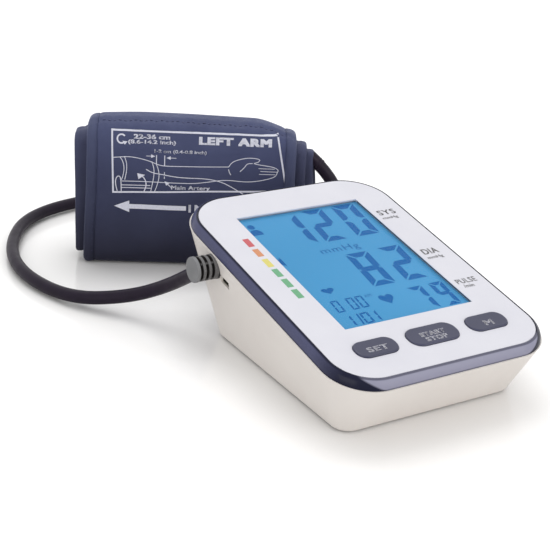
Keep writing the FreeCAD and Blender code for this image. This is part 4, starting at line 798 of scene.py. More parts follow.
@dataclass(frozen=True)
class Lettering:
    """A line of plain lettering, fitted to a box."""

    words: str
    left: float
    low: float
    width: float
    height: float
    weight: float = 0.0
    spread: float = 1.0

    def outline(self) -> tuple[list[Pair], list[Face]]:
        """Flat letter shapes inside the box.

        Returns:
            The corners as pairs, and the faces.
        """
        curve = bpy.data.curves.new("letters", "FONT")
        curve.body = self.words
        curve.resolution_u = 3
        curve.space_character = self.spread
        thing = bpy.data.objects.new("letters", curve)
        bpy.context.scene.collection.objects.link(thing)
        bpy.context.view_layer.update()
        mesh = thing.to_mesh()
        pairs = [(v.co.x, v.co.y) for v in mesh.vertices]
        faces = [tuple(p.vertices) for p in mesh.polygons]
        thing.to_mesh_clear()
        bpy.data.objects.remove(thing)
        bpy.data.curves.remove(curve)
        (x0, x1), (y0, y1) = ((min(axis), max(axis)) for axis in zip(*pairs))
        grow_x, grow_y = self.width / (x1 - x0), self.height / (y1 - y0)
        return [(self.left + (x - x0) * grow_x, self.low + (y - y0) * grow_y) for x, y in pairs], faces

    def finer(self, pairs: list[Pair], faces: list[Face], grid: float) -> tuple[list[Pair], list[Face]]:
        """Splits the letters' faces until they can follow soft cloth.

        Args:
            pairs: flat corners.
            faces: faces over them.
            grid: longest edge that stays.

        Returns:
            The finer corners and faces.
        """
        shape = bmesh.new()
        spots = [shape.verts.new((x, y, 0.0)) for x, y in pairs]
        for face in faces:
            if len(set(face)) == len(face):
                shape.faces.new([spots[i] for i in face])
        for _ in range(5):
            bmesh.ops.triangulate(shape, faces=shape.faces)
            long = [edge for edge in shape.edges if edge.calc_length() > grid]
            if not long:
                break
            bmesh.ops.subdivide_edges(shape, edges=long, cuts=1)
        bmesh.ops.triangulate(shape, faces=shape.faces)
        shape.verts.index_update()
        result = [(v.co.x, v.co.y) for v in shape.verts], [tuple(v.index for v in f.verts) for f in shape.faces]
        shape.free()
        return result

    def print_on(self, sheet: Print, grid: float = 0.0) -> None:
        """Adds the letters to a print, and repeats them askew where they are bold.

        Args:
            sheet: print that takes them.
            grid: longest edge of a letter's face on a soft surface, or 0 on a flat one.
        """
        pairs, faces = self.outline()
        if grid:
            pairs, faces = self.finer(pairs, faces, grid)
        half = self.weight / 2.0
        shifts = [(0.0, 0.0)]
        if half:
            shifts += [(half * a, half * b * 0.55) for a in (-1.0, -0.4, 0.4, 1.0) for b in (-1.0, 1.0)]
        for dx, dy in shifts:
            sheet.add([sheet.plane(x + dx, y + dy) for x, y in pairs], faces)


# ------------------------------------------------------------------ camera and studio


@dataclass(frozen=True)
class Studio:
    """Camera, lamps and floor."""

    eye: tuple[float, float, float] = (-0.34637, -0.53553, 0.3005)
    azimuth: float = -32.368
    elevation: float = 23.303
    roll: float = 3.273
    lens: float = 83.983
    sensor: float = 36.0
    ambient: float = 0.62
    floor_reach: float = 6.0

    def camera(self) -> None:
        """Sets up the camera."""
        az, el, roll = (math.radians(a) for a in (self.azimuth, self.elevation, self.roll))
        back = Vector((math.sin(az) * math.cos(el), -math.cos(az) * math.cos(el), math.sin(el)))
        right = (-back).cross(UP).normalized()
        up = right.cross(-back)
        turned_right = math.cos(roll) * right + math.sin(roll) * up
        turned_up = -math.sin(roll) * right + math.cos(roll) * up
        data = bpy.data.cameras.new("product_camera")
        data.lens = self.lens
        data.sensor_width = self.sensor
        data.sensor_fit = "HORIZONTAL"
        data.clip_end = 20.0
        thing = bpy.data.objects.new("product_camera", data)
        turn = Matrix((turned_right, turned_up, back)).transposed()
        thing.matrix_world = Matrix.Translation(self.eye) @ turn.to_4x4()
        bpy.context.scene.collection.objects.link(thing)
        bpy.context.scene.camera = thing
        log.info("camera at %s", self.eye)

    def lamp(self, name: str, spot: Vector, target: Vector, size: float, power: float, tone: Tone) -> None:
        """Adds a soft square lamp.

        Args:
            name: name of the lamp.
            spot: place of the lamp.
            target: point that it shines at.
            size: side of the square.
            power: watts.
            tone: colour of its light.
        """
        data = bpy.data.lights.new(name, "AREA")
        data.shape = "SQUARE"
        data.size = size
        data.energy = power
        data.color = linear(tone)[:3]
        thing = bpy.data.objects.new(name, data)
        thing.location = spot
        thing.rotation_euler = (target - spot).to_track_quat("-Z", "Y").to_euler()
        bpy.context.scene.collection.objects.link(thing)

    def light(self) -> None:
        """Sets up the lamps and the world's even light, which is white to the eye, in gloss and through glass."""
        middle = Vector((0.0, 0.0, 0.04))
        for name, spot, size, power, tone in (
            ("back_softbox", (0.0, 0.55, 1.7), 1.1, 9.4, (255, 255, 255)),
            ("front_fill", (0.75, -1.6, 0.65), 1.3, 8.6, (255, 252, 250)),
            ("left_fill", (-1.5, -0.9, 0.6), 1.2, 5.6, (255, 253, 251)),
        ):
            self.lamp(name, Vector(spot), middle, size, power, tone)
        world = bpy.data.worlds.new("studio_world")
        bpy.context.scene.world = world
        world.use_nodes = True
        bench = NodeBench(world.node_tree)
        rays = bench.add("LightPath").outputs
        direct = bench.count("ADD", rays["Is Camera Ray"], rays["Is Glossy Ray"])
        shown = bench.count("ADD", direct, rays["Is Transmission Ray"])
        back = world.node_tree.nodes["Background"]
        bench.feed(back.inputs["Color"], (1.0, 1.0, 1.0, 1.0))
        bench.feed(back.inputs["Strength"], bench.ramp(shown, 0.0, 1.0, self.ambient, 1.0))

    def floor(self) -> None:
        """Lays the floor."""
        sketch = Sketch("studio_floor")
        marks = (self.floor_reach, 0.0, -self.floor_reach)
        sketch.sheet([[Vector((x, y, -0.1 * MM)) for x in reversed(marks)] for y in marks])
        thing = sketch.to_object(Look.FLOOR)

    def build(self) -> None:
        """Builds the studio."""
        self.camera()
        self.light()
        self.floor()
        bpy.context.scene.view_settings.view_transform = "Standard"


# ------------------------------------------------------------------ air hose and plug


@dataclass(frozen=True)
class AirHose:
    """Rubber air hose from the cuff's right end, round behind it, to the plug in the unit's left side."""

    diameter: float = 7.4
    length: float = 565.7
    unit_x: float = 8.33
    unit_y: float = -59.13

    def route(self) -> list[Vector]:
        """Control points of the hose's line, from the cuff to the plug, in metres."""
        spots = (
            (47.61, 123.33, 65.0),
            (59.04, 117.13, 53.53),
            (71.4, 121.7, 24.2),
            (96.2, 135.1, 14.1),
            (103.0, 162.0, 5.5),
            (93.0, 194.0, 4.3),
            (66.0, 226.0, 4.3),
            (20.0, 252.0, 4.3),
            (-34.0, 265.0, 4.3),
            (-82.0, 251.0, 4.3),
            (-109.0, 211.0, 4.3),
            (-119.0, 168.0, 4.3),
            (-108.0, 124.0, 4.3),
            (-84.0, 98.0, 11.0),
            (-67.6, 74.96, 25.28),
            (-67.6, 51.21, 41.91),
        )
        return [MM * Vector((x + self.unit_x, y + self.unit_y, z)) for x, y, z in spots]

    def build(self) -> bpy.types.Object:
        """Returns:
            The hose.
        """
        points = self.route()
        curve = bpy.data.curves.new("rubber_hose", "CURVE")
        curve.dimensions = "3D"
        curve.bevel_depth = self.diameter / 2.0 * MM
        curve.bevel_resolution = 10
        curve.resolution_u = 16
        spline = curve.splines.new("NURBS")
        spline.points.add(len(points) - 1)
        for spot, point in zip(spline.points, points):
            spot.co = (*point, 1.0)
        spline.order_u = 3
        spline.use_endpoint_u = True
        curve.materials.append(Look.HOSE_RUBBER.value.material())
        hose = bpy.data.objects.new("rubber_hose", curve)
        bpy.context.scene.collection.objects.link(hose)
        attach(hose, "cuff_set")
        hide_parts("air_hose")
        log.info("rubber_hose: %d control points", len(points))
        return hose


@dataclass(frozen=True)
class HoseSleeve:
    """Slim rubber sleeve that eases the hose out of the cuff's core."""

    inside: float = 3.3
    outside: float = 5.5
    root: float = 3.9
    tip: float = 3.8
    mouth: float = 3.5
    rib: float = 0.12
    steps: int = 30
    sides: int = 36

    def build(self, hose: AirHose) -> bpy.types.Object:
        """Turns the sleeve round the hose's first run.

        Args:
            hose: hose that it sits on.

        Returns:
            The sleeve.
        """
        first, second = hose.route()[:2]
        ahead = (second - first).normalized()
        side = ahead.cross(UP).normalized()
        up = side.cross(ahead)
        outline = []
        for k in range(self.steps + 1):
            share = k / self.steps
            along = -self.inside + (self.inside + self.outside) * share
            radius = self.root + (self.tip - self.root) * share
            if 0.5 < share < 0.95:
                radius += self.rib * math.sin(math.pi * 9.0 * share)
            outline.append((along, radius))
        outline.append((self.outside, self.mouth))
        sketch = Sketch("hose_sleeve")
        spots = ((first + MM * along * ahead, MM * radius) for along, radius in outline)
        sketch.sheet([ring(spot, side, up, radius, self.sides) for spot, radius in spots])
        sleeve = sketch.make(Look.HOSE_RUBBER, "cuff_set", "dark_rubber")
        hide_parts("hose_grommet")
        return sleeve


# ------------------------------------------------------------------ desktop unit


class CadDress:
    """Gives each carried-over CAD node its finish."""

    def build(self) -> None:
        """Swaps every plain material slot for a finished one."""
        for name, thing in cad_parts.items():
            for place, old in enumerate(thing.data.materials):
                slot = old.name.split(".")[0].upper() if old else ""
                look = NODE_LOOKS.get(name) or Look.__members__.get(slot)
                if look is None:
                    log.warning("%s has a slot with no finish: %s", name, old)
                    continue
                thing.data.materials[place] = look.value.material()
            log.info("%s dressed", name)


@dataclass(frozen=True)
class Segments:
    """Slanted seven-segment figures, drawn in a box of the display."""

    stroke: float
    gap: float
    slant: float = 0.07
    widest: float = 0.55

    SHAPES = {"0": "abcdef", "1": "bc", "2": "abged", "7": "abc", "8": "abcdefg", "9": "abcdfg"}

    def bars(self, wide: float, tall: float, stroke: float) -> dict[str, list[Pair]]:
        """Outlines of the seven segments.

        Args:
            wide: width of the figure.
            tall: height of the figure.
            stroke: thickness of a segment.

        Returns:
            Each segment's corners by its letter.
        """
        gap = self.gap * wide
        half, tip = tall / 2.0, stroke / 2.0
        start = gap + tip * 0.2
        end = wide - start
        right_high = [
            (wide, tall - gap), (wide, half + tip * 0.4), (wide - tip, half + gap),
            (wide - stroke, half + tip + gap), (wide - stroke, tall - stroke - gap),
        ]
        right_low = [(x, tall - y) for x, y in right_high[:1] + right_high[:0:-1]]
        foot = [(gap, 0.0), (gap + stroke, stroke), (wide - gap - stroke, stroke), (wide - gap, 0.0)]
        return {
            "a": [(x, tall - y) for x, y in foot[:1] + foot[:0:-1]],
            "b": right_high,
            "c": right_low,
            "d": foot,
            "e": [(wide - x, y) for x, y in reversed(right_low)],
            "f": [(wide - x, y) for x, y in reversed(right_high)],
            "g": [
                (start, half), (start + tip, half + tip), (end - tip, half + tip),
                (end, half), (end - tip, half - tip), (start + tip, half - tip),
            ],
        }

    def figure(self, sheet: Print, digit: str, box: tuple[float, float, float, float]) -> None:
        """Adds one figure.

        Args:
            sheet: print that takes it.
            digit: the figure.
            box: left, right, low and high edge.
        """
        left, right, low, high = box
        tall = high - low
        lean = self.slant * tall
        wide = right - left - lean
        outlines = self.bars(wide, tall, self.stroke * min(wide, tall * self.widest))
        for letter in self.SHAPES[digit]:
            sheet.fill(*((left + x + lean * y / tall, low + y) for x, y in outlines[letter]))


def heart(centre: Pair, width: float, height: float) -> list[Pair]:
    """Outline of a plain heart sign.

    Args:
        centre: middle of its box.
        width: width of the box.
        height: height of the box.

    Returns:
        The outline's corners.
    """
    corners = 28
    outline = []
    for k in range(corners):
        t = 2.0 * math.pi * k / corners
        x = 16.0 * math.sin(t) ** 3 / 32.0
        y = (13.0 * math.cos(t) - 5.0 * math.cos(2 * t) - 2.0 * math.cos(3 * t) - math.cos(4 * t) + 2.5) / 29.0
        outline.append((centre[0] + x * width, centre[1] + y * height))
    return outline


@dataclass(frozen=True)
class Display:
    """Signs of the display, on the glass under the clear lens."""

    level: float = -2.26

    def plane(self, u: float, v: float) -> Vector:
        """Spot just above the display glass."""
        return FACE.point(u, v, self.level)

    def figures(self, sheet: Print) -> None:
        """Adds the readings, the time and the date."""
        big = Segments(stroke=0.3, gap=0.05)
        middling = Segments(stroke=0.33, gap=0.06)
        small = Segments(stroke=0.25, gap=0.04)
        for kind, digit, box in (
            (big, "1", (-18.6, -3.0, 112.2, 142.0)),
            (big, "2", (-0.9, 14.9, 111.8, 143.2)),
            (big, "0", (19.0, 35.3, 111.7, 143.3)),
            (big, "8", (-0.8, 15.0, 67.4, 97.8)),
            (big, "2", (19.1, 35.3, 66.9, 98.2)),
            (middling, "7", (12.8, 23.4, 40.9, 61.0)),
            (middling, "9", (26.5, 36.2, 41.1, 61.2)),
            (small, "0", (-31.0, -26.0, 53.0, 62.9)),
            (small, "0", (-22.4, -17.4, 53.0, 62.9)),
            (small, "0", (-16.9, -11.9, 53.0, 62.9)),
            (small, "1", (-33.0, -27.0, 40.9, 49.8)),
            (small, "0", (-22.5, -17.0, 40.9, 49.8)),
            (small, "1", (-18.8, -12.6, 40.9, 49.8)),
        ):
            kind.figure(sheet, digit, box)

    def build(self) -> None:
        """Draws every figure and sign."""
        sheet = Print("display_figures", plane=self.plane)
        self.figures(sheet)
        sheet.line([(-24.2, 41.0), (-23.0, 49.8)], 1.0)
        Lettering("mmHg", -9.4, 100.2, 23.4, 6.6, 0.0, 1.12).print_on(sheet)
        Lettering("AM", -10.6, 60.4, 4.2, 2.3).print_on(sheet)
        sheet.fill(*heart((-0.5, 55.6), 8.2, 8.4))
        sheet.fill(*heart((-25.6, 71.0), 7.2, 5.4))
        self.user_sign(sheet)
        sheet.fill((-38.4, 101.5), (-33.3, 97.6), (-33.3, 105.4))
        sheet.make(Look.DISPLAY_MARK, "monitor", "display_glass", smooth=False)

    def user_sign(self, sheet: Print) -> None:
        """Adds the small head-and-shoulders sign of the chosen user."""
        angles = (math.pi * k / 8 for k in range(16))
        sheet.fill(*((-32.6 + 2.0 * math.cos(angle), 136.4 + 2.3 * math.sin(angle)) for angle in angles))
        back = (-35.8, 128.2), (-29.2, 128.2), (-29.2, 130.8), (-30.6, 133.4), (-34.4, 133.4), (-35.8, 130.8)
        sheet.fill(*back)


@dataclass(frozen=True)
class FacePrints:
    """Printing on the face plate: the scale of colour bars and the names of the readings."""

    level: float = 0.03
    bar_left: float = -45.5
    bar_right: float = -42.0

    def plane(self, u: float, v: float) -> Vector:
        """Spot just above the face plate."""
        return FACE.point(u, v, self.level)

    def bars(self) -> None:
        """Prints the colour bars beside the display."""
        left, right = self.bar_left, self.bar_right
        for label, look, low, high in (
            ("high", Look.BAR_RED, 115.9, 123.6),
            ("raised", Look.BAR_ORANGE, 106.3, 113.4),
            ("border", Look.BAR_YELLOW, 96.1, 103.7),
            ("normal", Look.BAR_GREEN, 86.8, 94.0),
            ("good", Look.BAR_GREEN, 77.1, 84.6),
            ("best", Look.BAR_GREEN, 67.2, 74.9),
        ):
            sheet = Print("scale_bar_" + label, plane=self.plane)
            sheet.fill((left, low), (right, low), (right, high), (left, high))
            sheet.make(look, "monitor", "cool_white_abs", smooth=False)

    def words(self) -> None:
        """Prints the names of the readings."""
        sheet = Print("reading_names", plane=self.plane)
        for line in (
            Lettering("SYS", 41.0, 123.9, 11.0, 4.7, 0.25, 1.1),
            Lettering("mmHg", 40.6, 118.9, 9.8, 3.0, 0.15),
            Lettering("DIA", 41.1, 82.1, 9.4, 4.8, 0.35, 1.1),
            Lettering("mmHg", 40.4, 77.0, 9.8, 3.0, 0.15),
            Lettering("PULSE", 40.9, 52.7, 12.2, 4.0, 0.2, 1.1),
            Lettering("/min", 42.4, 48.9, 6.2, 2.7, 0.15),
        ):
            line.print_on(sheet)
        sheet.make(Look.FACE_INK, "monitor", "cool_white_abs", smooth=False)

    def build(self) -> None:
        """Prints everything on the plate."""
        self.bars()
        self.words()


@dataclass(frozen=True)
class KeyPrints:
    """Lettering on the three keys."""

    row: float = 20.4
    pitch: float = 32.6
    shift: float = 0.5
    rise: float = 0.98
    weight: float = 0.42
    spread: float = 1.12

    def plane(self, u: float, v: float) -> Vector:
        """Spot just above the keys' tops."""
        return FACE.point(u, v, self.rise)

    def build(self) -> None:
        """Prints each key's name, riding on its key."""
        names = (
            ("set_key", -1, (("SET", 11.2, 3.4, -1.5),)),
            ("start_stop_key", 0, (("START", 14.0, 3.0, 0.3), ("STOP", 12.0, 3.0, -3.6))),
            ("memory_key", 1, (("M", 4.6, 3.8, -1.6),)),
        )
        for node, place, lines in names:
            sheet = Print(node + "_print", plane=self.plane)
            middle = self.shift + place * self.pitch
            for words, width, height, lift in lines:
                left, low = middle - width / 2, self.row + lift - height / 2
                Lettering(words, left, low, width, height, self.weight, self.spread).print_on(sheet)
            sheet.make(Look.KEY_INK, node, "slate_key", smooth=False)


# ------------------------------------------------------------------ rolled cuff


@dataclass(frozen=True)
class Slump:
    """How the whole roll gives way: its corners sink, its rear creeps sideways and its cloth ripples.

    A pair of lengths is a zone, over which a movement grows from nothing to its full size.
    """

    upper: Pair = (38.0, 84.0)
    right: Pair = (95.0, 128.0)
    right_drop: float = 8.74
    left: Pair = (9.0, -9.0)
    left_drop: float = 5.0
    crest: float = 1.1
    swell: float = 0.9
    swell_middle: float = 40.0
    swell_reach: float = 24.0
    creep: float = 5.0
    creep_right: Pair = (96.0, 128.0)
    creep_rear: Pair = (6.0, 24.0)
    creep_top: Pair = (44.0, 80.0)
    creep_fade: float = 0.9
    foot: Pair = (0.0, 12.0)
    ripple: tuple[float, float, float] = (0.35, 0.7, 0.42)
    ripple_pace: tuple[float, float, float] = (0.035, 0.05, 0.035)
    ripple_start: tuple[float, float, float] = (3.1, 7.7, 1.3)

    def apply(self, x: float, y: float, z: float) -> tuple[float, float, float]:
        """Moves a point of the ideal roll to where the cloth lies.

        Args:
            x: distance along the long edge.
            y: distance behind the front.
            z: height above the floor.

        Returns:
            The moved point.
        """
        up = smooth_step(*self.upper, z)
        z -= up * (self.right_drop * smooth_step(*self.right, x) + self.left_drop * smooth_step(*self.left, x))
        z += up * (self.crest + self.swell * bell(x - self.swell_middle, self.swell_reach))
        low_share = 1.0 - self.creep_fade * smooth_step(*self.creep_top, z)
        x += self.creep * smooth_step(*self.creep_right, x) * smooth_step(*self.creep_rear, y) * low_share
        wave = noise.noise_vector(Vector((x, y, z)) * Vector(self.ripple_pace) + Vector(self.ripple_start))
        hold = smooth_step(*self.foot, z)
        return tuple(at + size * move * hold for at, size, move in zip((x, y, z), self.ripple, wave))


class Spot(NamedTuple):
    """Place on a turn's middle line: its y and z, the direction out of the roll, and the distance along."""

    y: float
    z: float
    out_y: float
    out_z: float
    along: float


@dataclass(frozen=True)
class Layer:
    """One turn of the padded strip: a closed shell that goes once round the roll."""

    name: str
    node: str
    inset: float
    left: float
    right: float
    thick: float = 3.3
    swell: float = 0.55
    depth: float = 27.0
    height: float = 87.0
    radius: float = 11.0
    low_radius: float = 3.6
    lean: float = 0.0
    pucker: float = 0.0
    step: float = 1.9
    look: Look = Look.NAVY_FABRIC
    slump: Slump = Slump()
    seams: tuple[float, ...] = ()
    seam_dip: float = 0.55
    seam_reach: float = 0.9
    grooves: tuple[float, ...] = ()
    groove_dip: float = 0.75
    groove_reach: float = 1.1
    pucker_reach: float = 4.5
    pucker_pace: float = 0.78
    thinnest: float = 0.12

    RIM = (0.0, 0.35, 0.9, 1.8, 3.2)
    FRAMES = 14

    def loop(self) -> list[Spot]:
        """Middle line of the turn, from the bottom of its front up and round.

        Returns:
            Its places, an even step apart.
        """
        inset = self.inset + 2.0
        high_y, high_z = self.depth - inset, self.height - inset
        bend = max(1.2, self.radius - inset)
        foot = max(1.0, self.low_radius - 0.28 * inset)
        corners = (
            (inset + bend, high_z - bend, 180.0, bend),
            (high_y - bend, high_z - bend, 90.0, bend),
            (high_y - foot, inset + foot, 0.0, foot),
            (inset + foot, inset + foot, -90.0, foot),
        )
        raw = []
        for middle_y, middle_z, start, bend in corners:
            turns = 10 if bend > 4.0 else 6
            for k in range(turns + 1):
                angle = math.radians(start - 90.0 * k / turns)
                out_y, out_z = math.cos(angle), math.sin(angle)
                raw.append((middle_y + bend * out_y, middle_z + bend * out_z, out_y, out_z))
        line = []
        total = 0.0
        for here, there in zip(raw, raw[1:] + raw[:1]):
            run = math.hypot(there[0] - here[0], there[1] - here[1])
            parts = max(1, round(run / self.step))
            for k in range(parts):
                share = k / parts
                line.append(Spot(*(a + (b - a) * share for a, b in zip(here, there)), total + run * share))
            total += run
        return line

    def place(self, x: float, y: float, z: float) -> Vector:
        """Where the cloth lies for a point of the ideal turn, in metres."""
        x += self.lean * smooth_step(26.0, 0.0, x) * (1.0 - smooth_step(0.0, 78.0, z))
        return CUFF.point(*self.slump.apply(x, y, z))

    def off(self, x: float, spot: Spot, lift: float) -> Vector:
        """Where the cloth lies at a distance outside the turn's middle line, in metres."""
        return self.place(x, spot.y + spot.out_y * lift, spot.z + spot.out_z * lift)

    def columns(self) -> list[float]:
        """Places of the cross lines, closer together near both edges."""
        places = [self.left + gap for gap in self.RIM]
        x = self.left + 5.0
        while x < self.right - 6.0:
            places.append(x)
            x += self.step * 1.1
        return places + [self.right - gap for gap in (5.0, *reversed(self.RIM))]

    def half_thickness(self, x: float, along: float) -> float:
        """Half the strip's thickness at a place, thin at its rolled edges and sewn lines.

        Args:
            x: distance along the long edge.
            along: distance along the turn's middle line.

        Returns:
            The half thickness in millimetres.
        """
        edge = min(x - self.left, self.right - x)
        full = self.thick / 2.0
        rounded = full * math.sqrt(max(0.0, 1.0 - (1.0 - min(1.0, edge / full)) ** 2))
        for seam in self.seams:
            rounded -= self.seam_dip * bell(edge - seam, self.seam_reach)
        for groove in self.grooves:
            rounded -= self.groove_dip * bell(along - groove, self.groove_reach)
            fold = math.sin(x * self.pucker_pace + 2.2 * noise.noise(Vector((x * 0.06, groove, 0.4))))
            rounded += self.pucker * fold * bell(along - groove, self.pucker_reach)
        return max(self.thinnest, rounded)

    def build(self) -> bpy.types.Object:
        """Builds the shell, lets it swell and dresses it.

        Returns:
            The turn of the strip.
        """
        columns = self.columns()
        outer, inner = [], []
        for spot in self.loop():
            halves = [self.half_thickness(x, spot.along) for x in columns]
            outer.append([self.off(x, spot, half) for x, half in zip(columns, halves)])
            inner.append([self.off(x, spot, -half) for x, half in zip(columns, halves)][::-1])
        sketch = Sketch(self.name)
        sketch.sheet(outer, loop=True)
        sketch.sheet(inner, loop=True)
        wide, count = len(columns), len(outer)
        base = count * wide
        for i in range(count):
            here, there = i * wide, (i + 1) % count * wide
            sketch.faces.append((here + wide - 1, there + wide - 1, base + there, base + here))
            sketch.faces.append((there, here, base + here + wide - 1, base + there + wide - 1))
        thing = sketch.make(self.look, "cuff_set", "navy_fabric")
        self.face_outward(thing)
        self.inflate(thing)
        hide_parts(self.node)
        return thing

    def face_outward(self, thing: bpy.types.Object) -> None:
        """Turns the shell's faces outward, so that pressure swells it."""
        shape = bmesh.new()
        shape.from_mesh(thing.data)
        bmesh.ops.recalc_face_normals(shape, faces=shape.faces)
        shape.to_mesh(thing.data)
        shape.free()

    def hold(self, edge: float, spot: Spot) -> float:
        """How firmly a place is held: fully at the edges and sewn lines, and nearly so at the foot."""
        sewn = any(abs(edge - seam) < 1.3 for seam in self.seams)
        sewn = sewn or any(abs(spot.along - groove) < 1.2 for groove in self.grooves)
        if edge < 1.0 or sewn:
            return 1.0
        return 0.9 if spot.z < 4.0 else 0.02

    def inflate(self, thing: bpy.types.Object) -> None:
        """Swells the shell with a short cloth simulation, held at its edges and sewn lines."""
        mesh = thing.data
        rest = [v.co.copy() for v in mesh.vertices]
        held = thing.vertex_groups.new(name="sewn")
        columns, loop = self.columns(), self.loop()
        wide = len(columns)
        for index in range(len(rest)):
            side, place = divmod(index, len(loop) * wide)
            row, column = divmod(place, wide)
            x = columns[column] if side == 0 else columns[wide - 1 - column]
            held.add([index], self.hold(min(x - self.left, self.right - x), loop[row]), "REPLACE")
        cloth = thing.modifiers.new("swell", "CLOTH")
        rules = cloth.settings
        rules.use_pressure = True
        rules.uniform_pressure_force = 4.0
        rules.vertex_group_mass = "sewn"
        rules.effector_weights.gravity = 0.0
        rules.quality = 6
        rules.tension_stiffness = 25.0
        rules.compression_stiffness = 25.0
        rules.bending_stiffness = 0.4
        cloth.point_cache.frame_start = 1
        cloth.point_cache.frame_end = self.FRAMES
        scene = bpy.context.scene
        for step in range(1, self.FRAMES + 1):
            scene.frame_set(step)
        seen = thing.evaluated_get(bpy.context.evaluated_depsgraph_get())
        swollen = [v.co.copy() for v in seen.data.vertices]
        thing.modifiers.remove(cloth)
        scene.frame_set(1)
        cap = self.swell * MM
        furthest = 0.0
        for vertex, start, end in zip(mesh.vertices, rest, swollen):
            move = end - start
            furthest = max(furthest, move.length)
            vertex.co = start + (move * (cap / move.length) if move.length > cap else move)
        mesh.update()
        log.info("%s swells up to %.2f mm, held to %.2f mm", self.name, furthest / MM, self.swell)


@dataclass(frozen=True)
class RolledCuff:
    """The rolled cuff: two turns of padded strip round a folded core, bindings, hook patch and stitching."""

    outer: Layer = Layer(
        "outer_wrap", "cuff_outer_turn", 0.0, 0.0, 119.4, seams=(5.2,), grooves=(10.2,), lean=-2.6, pucker=0.5
    )
    inner: Layer = Layer(
        "inner_wrap", "cuff_inner_turn", 4.35, -8.0, 126.0, look=Look.INNER_FABRIC, seams=(5.2,)
    )
    core: Layer = Layer("folded_core", "cuff_core", 8.7, 3.0, 130.4, thick=3.6, look=Look.INNER_FABRIC)
    patch_left: float = 14.0
    patch_length: float = 91.0
    patch_low: float = 18.0
    patch_rise: float = 0.75
    seam: float = 4.4
    stitch_from: float = 8.0
    stitch_to: float = 112.0
    stitch_length: float = 2.1
    stitch_pitch: float = 3.0

    BINDING = ((5.6, 1.0), (3.4, 1.05), (1.8, 1.05), (0.8, 1.0), (0.1, 0.7))
    STITCH = ((0.0, -0.15, 0.12), (0.25, 0.22, 0.26), (0.5, 0.3, 0.3), (0.75, 0.22, 0.26), (1.0, -0.15, 0.12))

    def build(self) -> None:
        """Builds the cuff."""
        for layer in (self.outer, self.inner, self.core):
            layer.build()
        for side, node in (("left", "edge_binding_left"), ("right", "edge_binding_right")):
            self.binding(side, node)
        self.patch()
        self.stitching()

    def binding(self, side: str, node: str) -> None:
        """Sews a tape round one edge of the outer wrap.

        Args:
            side: left or right.
            node: CAD node that the tape stands for.
        """
        layer = self.outer
        profile = (*self.BINDING, (-0.35, 0.0), *((reach, -lift) for reach, lift in reversed(self.BINDING)))
        rows = []
        for spot in layer.loop():
            row = []
            for reach, lift in profile:
                x = layer.left + reach if side == "left" else layer.right - reach
                if reach > 0.5:
                    half = max(layer.half_thickness(x, spot.along), 0.45) + 0.28
                else:
                    half = layer.thick / 2.0 * 0.85
                row.append(layer.off(x, spot, half * lift))
            rows.append(row if side == "right" else row[::-1])
        sketch = Sketch("binding_tape_" + side)
        sketch.sheet(rows, loop=True)
        tape = sketch.make(Look.NAVY_TAPE, "cuff_set", "navy_tape")
        thick = tape.modifiers.new("tape", "SOLIDIFY")
        thick.thickness = 0.3 * MM
        thick.offset = 0.0
        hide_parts(node)

    def patch(self) -> None:
        """Adds the hook patch on the back of the roll."""
        sketch = Sketch("hook_panel")
        wide, tall = 47, 17
        rows = []
        for k in range(tall + 1):
            row = []
            for j in range(wide + 1):
                x = self.patch_left + self.patch_length * j / wide
                rim = 0.0 if j in (0, wide) or k in (0, tall) else self.patch_rise
                row.append(self.outer.place(x, self.outer.depth + rim, self.patch_low + 2.0 * k))
            rows.append(row)
        sketch.sheet(rows)
        panel = sketch.make(Look.HOOK_TAPE, "cuff_set", "hook_tape")
        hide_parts("hook_patch")

    def stitching(self) -> None:
        """Sews rows of thread along the top groove and both bound edges."""
        layer = self.outer
        sketch = Sketch("stitch_rows")
        loop = layer.loop()
        top = min(loop, key=lambda spot: abs(spot.along - layer.grooves[0]))
        x = self.stitch_from
        while x < self.stitch_to:
            self.stitch(sketch, (x, top), (x + self.stitch_length, top))
            x += self.stitch_pitch
        for edge in (self.seam, layer.right - self.seam):
            for first, second in zip(loop[::2], loop[1::2]):
                self.stitch(sketch, (edge, first), (edge, second))
        sketch.make(Look.THREAD, "cuff_set", "navy_fabric")

    def stitch(self, sketch: Sketch, first: tuple[float, Spot], second: tuple[float, Spot]) -> None:
        """Adds one stitch that bulges out of the outer wrap between two holes.

        Args:
            sketch: sketch that takes it.
            first: distance along the long edge and place on the turn's middle line where it starts.
            second: the same where it ends.
        """
        middles = []
        for share, rise, _ in self.STITCH:
            x = first[0] + (second[0] - first[0]) * share
            spot = Spot(*(a + (b - a) * share for a, b in zip(first[1], second[1])))
            middles.append(self.outer.off(x, spot, self.outer.half_thickness(x, spot.along) + rise))
        out = (self.outer.off(*first, 9.0) - middles[0]).normalized()
        ahead = (middles[-1] - middles[0]).normalized()
        side = ahead.cross(out).normalized()
        girths = [girth * MM for _, _, girth in self.STITCH]
        sketch.sheet([ring(middle, out, side, girth, 6) for middle, girth in zip(middles, girths)])


